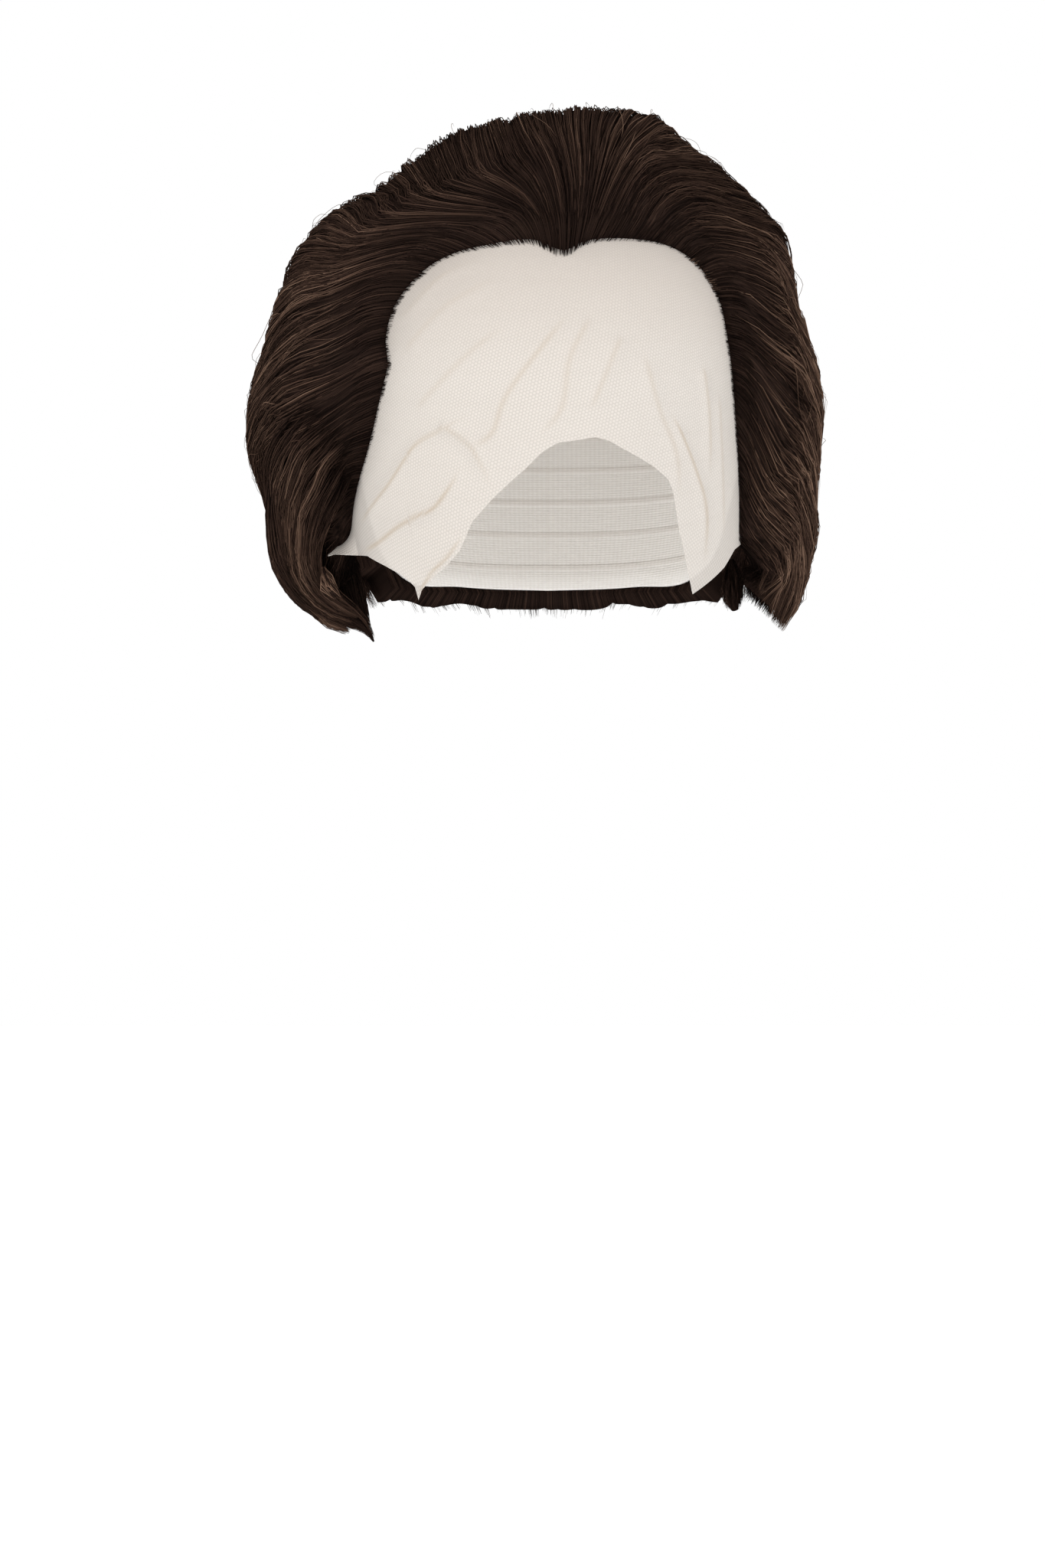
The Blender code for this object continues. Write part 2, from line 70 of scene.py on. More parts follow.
class Tree:
    # A shader or geometry tree with the one method that adds a node
    def __init__(self, nodeTree):
        self.nodeTree = nodeTree

    def node(self, kind, settings=None, inputs=None, output=None):
        made = self.nodeTree.nodes.new(kind)
        for name, value in (settings or {}).items():
            if name == "stops":
                ramp = made.color_ramp
                while len(ramp.elements) < len(value):
                    ramp.elements.new(0.5)
                for element, (place, colour) in zip(ramp.elements, value):
                    element.position = place
                    element.color = (*colour, 1.0)
            else:
                setattr(made, name, value)
        for key, value in (inputs or {}).items():
            socket = made.inputs[key] if isinstance(key, int) else next(
                s for s in made.inputs if s.name == key and s.enabled)
            self.join(value, socket)
        if not made.outputs:
            return None
        if output is None:
            output = next(i for i, s in enumerate(made.outputs) if s.enabled)
        return Wire(self, made.outputs[output])

    def join(self, value, socket):
        if isinstance(value, Wire):
            self.nodeTree.links.new(value.socket, socket)
        else:
            socket.default_value = value

    def mixed(self, factor, first, second):
        # A blend of two colours
        return self.node("ShaderNodeMix", {"data_type": "RGBA"}, {0: factor, 6: first, 7: second})

    def noise(self, place, scale, detail):
        return self.node("ShaderNodeTexNoise", {}, {"Vector": place, "Scale": scale, "Detail": detail})

    def bump(self, look, height):
        # Relief with the depth and strength that a piece's settings give
        return self.node("ShaderNodeBump", {}, {"Strength": look["bumpStrength"], "Distance": look["bump"],
                                                "Height": height})

    def split(self, vector):
        # The three numbers of a vector
        parts = self.node("ShaderNodeSeparateXYZ", {}, {"Vector": vector}, output=0)
        return [Wire(self, output) for output in parts.socket.node.outputs]


def newFinish(name, roughness, specular=0.5):
    # A material, its tree, and the Principled shader that it ends in
    material = bpy.data.materials.new(name)
    material.use_nodes = True
    shader = material.node_tree.nodes["Principled BSDF"]
    shader.inputs["Roughness"].default_value = roughness
    shader.inputs["Specular IOR Level"].default_value = specular
    return material, Tree(material.node_tree), shader


# The form inside the cap, in millimetres. The lace and the hair follow it too.
capForm = {
    "halfWidth": 75.0, "halfLength": 96.0, "crownRise": 88.0, "planPower": 2.2, "profilePower": 2.4,
    "faceDrop": 160.0, "sideDrop": 125.0, "napeDrop": 105.0, "nearest": -130.0, "lowestUp": -75.0,
    "halvings": 40,
}
capCentre = np.array([0.0, 0.0, -capForm["crownRise"]])


def unit(vectors):
    return vectors / np.linalg.norm(vectors, axis=-1, keepdims=True)


def towards(azimuth, up):
    az, el = np.radians(azimuth), np.radians(up)
    return np.stack([np.sin(az) * np.cos(el), -np.cos(az) * np.cos(el), np.sin(el)], axis=-1)


def capRadius(direction):
    across = np.hypot(direction[..., 0], direction[..., 1]) + 1e-9
    sideways = (direction[..., 0] / across) ** 2
    endDrop = np.where(direction[..., 1] < 0, capForm["faceDrop"], capForm["napeDrop"])
    below = capForm["sideDrop"] * sideways + endDrop * (1.0 - sideways)
    tall = np.where(direction[..., 2] >= 0, capForm["crownRise"], below)
    plan = (np.abs(direction[..., 0]) / capForm["halfWidth"]) ** capForm["planPower"]
    plan = plan + (np.abs(direction[..., 1]) / capForm["halfLength"]) ** capForm["planPower"]
    rise = (np.abs(direction[..., 2]) / tall) ** capForm["profilePower"]
    ratio = capForm["profilePower"] / capForm["planPower"]
    return (plan ** ratio + rise) ** (-1.0 / capForm["profilePower"])


def offCap(direction, lift):
    return capCentre + direction * (capRadius(direction) + lift)[..., None]


def halve(low, high, shape, isLow):
    # Closes in on the value up to which isLow holds
    low, high = np.full(shape, low), np.full(shape, high)
    for _ in range(capForm["halvings"]):
        middle = (low + high) / 2
        held = isLow(middle)
        low, high = np.where(held, middle, low), np.where(held, high, middle)
    return (low + high) / 2


def outsideForm(offset):
    return np.linalg.norm(offset, axis=-1) > capRadius(unit(offset))


def upToHeight(azimuth, height):
    # The angle up at which the form has this height
    def isLower(up):
        direction = towards(azimuth, up)
        return capCentre[2] + direction[..., 2] * capRadius(direction) < height

    return halve(capForm["lowestUp"], 90.0, np.shape(azimuth), isLower)


def seenFromFront(x, z):
    # The direction to the form's front at x and z
    def offsetAt(y):
        return np.stack([x, y, z - capCentre[2]], axis=-1)

    return unit(offsetAt(halve(capForm["nearest"], 0.0, np.shape(x), lambda y: outsideForm(offsetAt(y)))))


# Where the camera stands, in millimetres. What it sees is measured on the plane y = 0.
eye = np.array([-9.66, -1800.0, -220.64])


def fromCamera(points):
    # Where points are seen on the plane y = 0, as x and z
    near = eye[1] / (eye[1] - points[..., 1])
    return eye[0] + (points[..., 0] - eye[0]) * near, eye[2] + (points[..., 2] - eye[2]) * near


def alongView(x, y, z):
    # Points at depth y that the camera sees at x and z
    grow = (y - eye[1]) / -eye[1]
    return np.stack([eye[0] + (x - eye[0]) * grow, y, eye[2] + (z - eye[2]) * grow], axis=-1)


def capSeenAt(x, z):
    # Points of the form that the camera sees at x and z
    def isOutside(y):
        return outsideForm(alongView(x, y, z) - capCentre)

    return alongView(x, halve(capForm["nearest"], 0.0, np.shape(x), isOutside), z)


def smoothThrough(knots, values, at):
    # Catmull-Rom curve through values at uneven knots
    knots, values = np.asarray(knots, float), np.asarray(values, float)
    slopes = np.gradient(values, knots, axis=0)
    at = np.clip(at, knots[0], knots[-1])
    left = np.clip(np.searchsorted(knots, at, side="right") - 1, 0, len(knots) - 2)
    span = knots[left + 1] - knots[left]
    u = (at - knots[left]) / span
    if values.ndim > 1:
        u, span = u[..., None], span[..., None]
    first = (2 * u**3 - 3 * u**2 + 1) * values[left] + (u**3 - 2 * u**2 + u) * span * slopes[left]
    return first + (3 * u**2 - 2 * u**3) * values[left + 1] + (u**3 - u**2) * span * slopes[left + 1]


def ease(value, low, high):
    share = np.clip((value - low) / (high - low), 0.0, 1.0)
    return share * share * (3 - 2 * share)


def newPiece(name, points, faces, finish, flowMap=None):
    # points in millimetres; flowMap is one (u, v) for each point
    mesh = bpy.data.meshes.new(name)
    mesh.from_pydata([tuple(p) for p in np.asarray(points, float) * mm], [], faces)
    mesh.validate()
    if flowMap is not None:
        layer = mesh.uv_layers.new(name="flow")
        corners = np.empty(len(mesh.loops), np.int32)
        mesh.loops.foreach_get("vertex_index", corners)
        layer.data.foreach_set("uv", np.asarray(flowMap, np.float32)[corners].ravel())
    mesh.shade_smooth()
    piece = bpy.data.objects.new(name, mesh)
    bpy.context.scene.collection.objects.link(piece)
    if finish is not None:
        mesh.materials.append(finish)
    return piece


def gridFaces(rows, columns, start=0, flip=False):
    # Faces of a grid of points, row by row
    faces = []
    for i in range(rows - 1):
        for j in range(columns - 1):
            a = start + i * columns + j
            quad = (a, a + 1, a + columns + 1, a + columns)
            faces.append(quad[::-1] if flip else quad)
    return faces


def borderOf(rows, columns):
    # The points round the rim of a grid, in order
    top = list(range(columns))
    right = [i * columns + columns - 1 for i in range(1, rows)]
    bottom = [(rows - 1) * columns + j for j in range(columns - 2, -1, -1)]
    left = [i * columns for i in range(rows - 2, 0, -1)]
    return top + right + bottom + left


def walledFaces(rows, columns, flip=False):
    # Faces of the closed body between an outer grid and an inner one of the same size
    count = rows * columns
    faces = gridFaces(rows, columns, 0, flip) + gridFaces(rows, columns, count, not flip)
    border = borderOf(rows, columns)
    for a, b in zip(border, border[1:] + border[:1]):
        quad = (b, a, a + count, b + count)
        faces.append(quad[::-1] if flip else quad)
    return faces


# The front hairline as x and z, from the right sideburn to the left one
hairline = [
    (-70.8, -132.0), (-68.8, -118.0), (-63.6, -102.0), (-58.4, -82.0), (-56.2, -73.0), (-57.0, -65.0),
    (-54.6, -54.0), (-47.3, -44.0), (-37.0, -36.8), (-22.0, -33.0), (-4.0, -32.0), (4.4, -35.6),
    (12.0, -32.0), (28.0, -30.2), (41.0, -31.6), (52.0, -37.8), (59.0, -48.5), (62.0, -62.0),
    (64.6, -84.0), (66.4, -108.0), (67.0, -133.0),
]
# Each row: lock, share of the hairline where it starts, the direction that it passes (azimuth, up), where
# its tip is (azimuth, height), its depth and its depth at the tip
flowRows = [
    (0, 0, -80, -44, -74, -141, 9, 5), (0.9, 0.06, -88, -25, -82, -145, 15, 7),
    (2.3, 0.12, -98, -5, -93, -149, 22, 9), (4.2, 0.2, -102, 3, -104, -148, 30, 9),
    (6.3, 0.27, -104, 13, -114, -148, 31, 9), (8.2, 0.33, -106, 20, -124, -148, 28, 8),
    (11, 0.39, -112, 36, -138, -149, 22.5, 8), (13.8, 0.44, -122, 48, -154, -150, 14, 8),
    (16.8, 0.475, -146, 64, -168, -151, 17, 8), (20, 0.505, 180, 80, 180, -151, 23, 8),
    (23.2, 0.535, 146, 64, 168, -151, 24, 8), (26.2, 0.56, 126, 46, 156, -150, 24, 8),
    (29, 0.62, 114, 36, 140, -149, 23, 8), (31.2, 0.68, 108, 28, 126, -147, 20.5, 8),
    (33.4, 0.74, 101, 14, 110, -147, 21, 11), (35.4, 0.8, 95, 3, 102, -148, 21, 17),
    (37.4, 0.87, 87, -12, 95, -150, 21, 20), (38.9, 0.93, 82, -26, 85, -150, 18, 12),
    (40, 1, 78, -36, 73, -144, 10, 4),
]
# How far the combed hair is drawn in, by the angle at which the camera sees it, from the top to each side
drawnIn = [
    (-150, 0), (-125, 2.0), (-115, 0.9), (-105, 3.4), (-100, 1.6), (-95, 0.7), (-90, 1.3), (-85, 1.9),
    (-80, 3.3), (-75, 3.8), (-70, 3.4), (-65, 3.1), (-60, 2.1), (-55, 1.1), (-50, 1.2), (-45, 1.3),
    (-40, 1.5), (-35, 2.3), (-30, 1.0), (-25, 1.0), (-20, -0.8), (-15, 0.3), (-10, 2.5), (-5, 3.6),
    (0, 4.3), (5, 3.3), (10, 3.3), (15, 2.6), (20, 1.3), (24, 5.4), (30, 6.2), (35, 6.4), (40, 6.3),
    (45, 4.8), (50, 2.3), (55, 2.3), (60, 2.9), (65, 5.0), (70, 3.6), (75, 2.2), (80, 0.9), (85, 0.8),
    (90, 1.1), (95, 2.0), (100, 2.2), (105, 2.7), (110, 1.4), (115, 0.3), (125, -0.5), (150, 0),
]
# Lengths in millimetres. Locks are counted along the hairline, from the right sideburn to the left one.
hair = {
    "locks": 40, "overPull": 1.25, "lining": 1.8, "liningRoot": 0.95, "liningRise": 0.05, "rootLift": 1.0,
    "rootBody": 3.2, "rootRun": 4.0, "riseLength": 15.0, "endTaper": 0.3, "waveLength": 58.0,
    "waveHeight": 1.7, "waveDrift": ((0.55, 0.9, 0.0), (0.4, 0.37, 1.3)), "furrow": 1.8,
    "furrowsPerLock": 0.8, "furrowWander": 0.35, "wanderLength": 37.0, "wanderTurn": 1.7,
    "furrowFade": 0.45, "fadeLength": 45.0, "fadeTurn": 2.4, "drawnInOver": 12.0, "before": 0.02,
    "guideColumns": 6, "guideRows": 121, "pathSteps": 121, "surfaceLocks": 321, "startLocks": 401,
}
flowTable = np.array(flowRows, float)
# How many locks aside the hair has been combed from each starting lock, at shares of its length
shiftShares = [0, 0.02, 0.045, 0.08, 0.14, 0.22, 0.32, 0.45, 0.65, 1]
shiftRows = [
    (0, [0, 0, 0, 0, 0, 0, 0, 0, 0, 0]),
    (2, [0, 0, -0.1, -0.25, -0.4, -0.4, -0.1, 0.1, 0.1, 0]),
    (4.4, [0, -0.25, -0.5, -0.9, -1.15, -1.35, -1.4, -1.4, -1.2, -0.8]),
    (6.1, [0, -0.3, -0.7, -1.1, -1.4, -1.5, -1.5, -1.4, -1.2, -0.8]),
    (7.5, [0, -0.35, -0.8, -1.3, -1.6, -1.9, -1.9, -1.7, -1.4, -0.9]),
    (10.9, [0, -0.8, -2.0, -2.9, -3.0, -2.6, -2.0, -1.4, -0.9, -0.5]),
    (13, [0, -1.0, -2.8, -3.9, -3.8, -3.1, -2.4, -1.7, -1.1, -0.6]),
    (16, [0, -1.2, -4.2, -5.8, -5.2, -4.3, -3.4, -2.5, -1.6, -0.9]),
    (19, [0, -0.7, -2.0, -3.1, -2.9, -2.4, -1.9, -1.4, -1.0, -0.6]),
    (21, [0, -0.3, -0.8, -1.5, -2.0, -2.1, -1.9, -1.5, -1.0, -0.6]),
    (24, [0, -0.1, -0.3, -0.5, -0.7, -0.8, -0.8, -0.6, -0.4, -0.2]),
    (28.5, [0, -0.1, -0.4, -0.4, 0, 0, 0, 0, 0, 0]),
    (30.6, [0, -0.1, 0.1, 0.6, 1.0, 1.1, 1.0, 0.8, 0.5, 0.3]),
    (32.2, [0, 0.1, 0.3, 0.7, 1.0, 0.9, 0.8, 0.7, 0.5, 0.3]),
    (33.6, [0, 0.2, 0.5, 0.9, 1.2, 1.3, 1.2, 1.0, 0.7, 0.4]),
    (34.9, [0, 0.2, 0.5, 1.0, 1.4, 1.5, 1.4, 1.2, 0.9, 0.5]),
    (35.9, [0, 0.2, 0.7, 1.3, 1.8, 1.9, 1.8, 1.5, 1.1, 0.6]),
    (37, [0, 0.4, 0.9, 1.3, 1.6, 1.6, 1.5, 1.3, 0.9, 0.4]),
    (38.9, [0, 0.1, 0.3, 0.4, 0.5, 0.5, 0.5, 0.4, 0.3, 0.1]),
    (40, [0, 0, 0, 0, 0, 0, 0, 0, 0, 0]),
]


def flowValue(columnIndex, locks):
    return smoothThrough(flowTable[:, 0], flowTable[:, columnIndex], locks)


def combedPaths(locks, lengths):
    # Directions, and distances combed in millimetres, on a grid of locks by shares of their length
    fine = np.linspace(0.0, 1.0, hair["pathSteps"])
    line = np.array(hairline)
    lineDirections = seenFromFront(line[:, 0], line[:, 1])
    steps = np.linalg.norm(np.diff(offCap(lineDirections, np.zeros(len(line))), axis=0), axis=1)
    along = np.concatenate([[0.0], np.cumsum(steps)]) / steps.sum()
    root = unit(smoothThrough(along, lineDirections, flowValue(1, locks)))[:, None]
    over = unit(smoothThrough(flowTable[:, 0], towards(flowTable[:, 2], flowTable[:, 3]), locks))[:, None]
    tipUp = upToHeight(flowTable[:, 4], flowTable[:, 5])
    tip = unit(smoothThrough(flowTable[:, 0], towards(flowTable[:, 4], tipUp), locks))[:, None]
    t = fine[None, :, None]
    bend = unit((1 - t) ** 2 * root + 2 * t * (1 - t) * hair["overPull"] * over + t**2 * tip)
    path = offCap(bend, np.zeros(bend.shape[:2]))
    steps = np.linalg.norm(np.diff(path, axis=1), axis=2)
    along = np.concatenate([np.zeros((len(locks), 1)), np.cumsum(steps, axis=1)], axis=1)
    total = along[:, -1:]
    distance = lengths[None, :] * total
    directions = np.empty((len(locks), len(lengths), 3))
    for i in range(len(locks)):
        for axis in range(3):
            directions[i, :, axis] = np.interp(distance[i], along[i], bend[i, :, axis])
        ahead = (bend[i, 1] - bend[i, 0]) / along[i, 1]
        before = distance[i] < 0
        directions[i, before] = bend[i, 0] + ahead * distance[i, before, None]
    return unit(directions), distance, total


def combedOver(locks, lengths):
    # Where hair that starts at each lock lies, as a lock, at shares of its length
    starts = np.array([row[0] for row in shiftRows], float)
    shift = smoothThrough(starts, np.array([row[1] for row in shiftRows], float), locks)
    shift = smoothThrough(shiftShares, shift.T, np.clip(lengths, 0.0, 1.0)).T
    return np.clip(locks[:, None] + shift, 0.0, hair["locks"])


def startsOf(locks, lengths):
    # The lock at the hairline from which the hair that lies at each lock was combed
    starts = np.linspace(0.0, hair["locks"], hair["startLocks"])
    over = combedOver(starts, lengths)
    return np.stack([np.interp(locks, over[:, j], starts) for j in range(len(lengths))], axis=1)


def combedSurface(locks, starts, lengths):
    # Outer points of the combed hair with its waves and furrows. locks and starts are grids: where a point
    # lies, and where the hair there was combed from.
    base = np.linspace(0.0, hair["locks"], hair["surfaceLocks"])
    grids = combedPaths(base, lengths)

    def pick(grid):
        grid = np.broadcast_to(grid, (len(base), len(lengths)))
        return np.stack([np.interp(locks[:, j], base, grid[:, j]) for j in range(len(lengths))], axis=1)

    directions = unit(np.stack([pick(grids[0][..., axis]) for axis in range(3)], axis=-1))
    distance, total = pick(grids[1]), pick(grids[2])
    ahead = np.maximum(distance, 0.0)
    rise = 1.0 - np.exp(-ahead / hair["riseLength"])
    tipEase = ease(total - distance, 0.0, hair["endTaper"] * total)
    body, tipBody = flowValue(6, locks), flowValue(7, locks)
    depth = (tipBody + (body - tipBody) * tipEase) * rise
    drift = sum(size * np.sin(locks * turn + start) for size, turn, start in hair["waveDrift"])
    wave = hair["waveHeight"] * np.sin(2 * math.pi * distance / hair["waveLength"] + drift)
    swerve = np.sin(distance / hair["wanderLength"] + starts * hair["wanderTurn"])
    wander = starts * hair["furrowsPerLock"] + hair["furrowWander"] * swerve * rise
    ridge = np.abs(wander - np.floor(wander) - 0.5) * 2
    fade = np.sin(np.round(wander) * hair["fadeTurn"] + distance / hair["fadeLength"])
    furrow = ridge**3 * (1.0 - hair["furrowFade"] + hair["furrowFade"] * fade)
    rooted = 1.0 - np.exp(-ahead / hair["rootRun"])
    root = hair["rootLift"] + (hair["rootBody"] - hair["rootLift"]) * rooted
    lift = root + depth + (wave - hair["furrow"] * furrow) * rise
    seenX, seenZ = fromCamera(offCap(directions, lift))
    angle = np.degrees(np.arctan2(seenX, seenZ - capCentre[2]))
    table = np.array(drawnIn)
    far = np.clip((lift - hair["lining"]) / hair["drawnInOver"], 0.0, 1.0)
    return offCap(directions, lift - np.interp(angle, table[:, 0], table[:, 1]) * rise * far)


def combedLining(locks, lengths):
    # It starts just over the lace and rises to its own height
    directions, _, _ = combedPaths(locks, lengths)
    risen = ease(lengths, 0.0, hair["liningRise"])
    lift = hair["liningRoot"] + (hair["lining"] - hair["liningRoot"]) * risen
    return offCap(directions, np.broadcast_to(lift, directions.shape[:2]))


# Stops of the ramp that turns a strand's tint into its colour, and the gloss
hairColours = {
    "stops": [(0.0, (0.0057, 0.0037, 0.0031)), (0.3, (0.0176, 0.0105, 0.0082)),
              (0.6, (0.0425, 0.0248, 0.0182)), (0.85, (0.094, 0.0562, 0.0395)), (1.0, (0.18, 0.112, 0.078))],
    "roughness": 0.5, "gloss": 0.0, "glossTint": (1.0, 0.8, 0.64, 1.0), "patchScale": 34.0,
    "patchShare": 0.3,
}


def paintHair(tree, shader, tint):
    ramp = tree.node("ShaderNodeValToRGB", {"stops": hairColours["stops"]}, {"Fac": tint})
    tree.join(ramp, shader.inputs["Base Color"])


def makeStrandFinish():
    # Strands: the tint that each one got when it was grown, with slow changes over the hair
    material, tree, shader = newFinish("hairStrandFinish", hairColours["roughness"], hairColours["gloss"])
    shader.inputs["Specular Tint"].default_value = hairColours["glossTint"]
    tint = tree.node("ShaderNodeAttribute", {"attribute_name": "tint"}, output=2)
    place = tree.node("ShaderNodeTexCoord", output=3)
    patch = tree.noise(place, hairColours["patchScale"], 2.0)
    paintHair(tree, shader, tint + (patch - 0.5) * hairColours["patchShare"])
    return material


# The base under the strands: how many streaks lie side by side and along, and how much they tint it
underHair = {
    "roughness": 0.6, "fineStreaks": (624.0, 15.0, 1.0), "fineShare": 1.2,
    "broadStreaks": (130.0, 5.0, 1.0), "broadShare": 0.8, "tint": 0.22, "bump": 0.0006,
    "bumpStrength": 0.8,
}


def makeUnderFinish():
    # Fine streaks that run along the flow map, over broader ones
    material, tree, shader = newFinish("hairUnderFinish", underHair["roughness"], hairColours["gloss"])
    flow = tree.node("ShaderNodeUVMap", {"uv_map": "flow"})
    fine = tree.node("ShaderNodeMapping", {}, {"Vector": flow, "Scale": underHair["fineStreaks"]})
    broad = tree.node("ShaderNodeMapping", {}, {"Vector": flow, "Scale": underHair["broadStreaks"]})
    hairs = tree.noise(fine, 1.0, 3.0)
    wisps = tree.noise(broad, 1.0, 2.0)
    tint = (hairs - 0.5) * underHair["fineShare"] + (wisps - 0.5) * underHair["broadShare"]
    paintHair(tree, shader, tint + underHair["tint"])
    tree.join(tree.bump(underHair, hairs + wisps), shader.inputs["Normal"])
    return material


# The combed base of each section: its locks, and where it starts and ends along them
sideGrid = {"start": 0.004, "end": 0.94, "perLock": 8, "rows": 64}
topGrid = {"from": 10, "to": 30, "perLock": 5, "rows": 26}
sections = {
    "hair_right_side": {**sideGrid, "from": 0, "to": 10},
    "hair_front_top": {**topGrid, "start": 0.0025, "end": 1 / 3},
    "hair_crown": {**topGrid, "start": 1 / 3, "end": 2 / 3},
    "hair_back": {**topGrid, "start": 2 / 3, "end": 0.984},
    "hair_left_side": {**sideGrid, "from": 30, "to": 40},
}
# How far the base keeps from the first and last lock, under the combed surface and over its lining
baseGaps = {"ends": 0.12, "below": 0.6, "wall": 0.25}
underFinish = makeUnderFinish()


def makeUnderHair(node, section):
    count = (section["to"] - section["from"]) * section["perLock"] + 1
    locks = np.linspace(section["from"], section["to"], count)
    locks = np.clip(locks, baseGaps["ends"], hair["locks"] - baseGaps["ends"])
    lengths = np.linspace(section["start"], section["end"], section["rows"])
    starts = startsOf(locks, lengths)
    outer = combedSurface(np.repeat(locks[:, None], section["rows"], axis=1), starts, lengths)
    outer = outer - baseGaps["below"] * unit(outer - capCentre)
    inner = combedLining(locks, lengths)
    # The outer layer never sinks below its lining
    room = np.linalg.norm(outer - capCentre, axis=2) - np.linalg.norm(inner - capCentre, axis=2)
    outer += unit(outer - capCentre) * np.maximum(baseGaps["wall"] - room, 0.0)[..., None]
    flowMap = np.stack([starts / hair["locks"], lengths[None, :] + 0 * starts], axis=-1).reshape(-1, 2)
    faces = walledFaces(len(locks), len(lengths), flip=True)
    points = np.concatenate([outer.reshape(-1, 3), inner.reshape(-1, 3)])
    piece = newPiece(node + "_combed", points, faces, underFinish, np.concatenate([flowMap, flowMap]))
    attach(piece, "root")
    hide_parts(node)


for node, section in sections.items():
    makeUnderHair(node, section)
print("combed base made")


# How every strand is grown: lifts in millimetres, the rest in shares of its length, of a wisp or of a tint
strandGrowth = {
    "points": 30, "sides": 3, "ranks": 5.0, "rankChance": 0.8, "rankAside": 0.37, "rankSpread": 0.5,
    "lastEnd": 0.998, "endByWisp": 0.03, "endByStrand": 0.035, "pullFrom": 0.25, "pullChance": 0.55,
    "swings": 4.2, "swingMiddle": 0.3, "strayRun": 7.0, "strayRange": 400.0, "strayAside": 4.0,
    "strayUp": 3.0, "rootRun": 0.06, "edgeGap": 0.03, "wispLift": 1.4, "roundness": 2.2, "rootSink": 1.4,
    "rootSinkRun": 0.14, "tipSink": 0.8, "tipSinkFrom": 0.8, "tintByStrand": 0.68, "wispToneAndHighlight": 0.32,
    "brightPower": 12.0, "bright": 0.3, "lightAndShadeByLift": 0.09, "liftMiddle": 0.4, "gapShade": 0.5,
    "rootShade": 0.26, "rootShadeRun": 0.25, "rootThickness": 0.35, "rootThicknessRun": 0.08,
    "tipThinning": 0.8, "tipThinFrom": 0.72, "thicknessFrom": 0.7, "thicknessTo": 1.2,
}


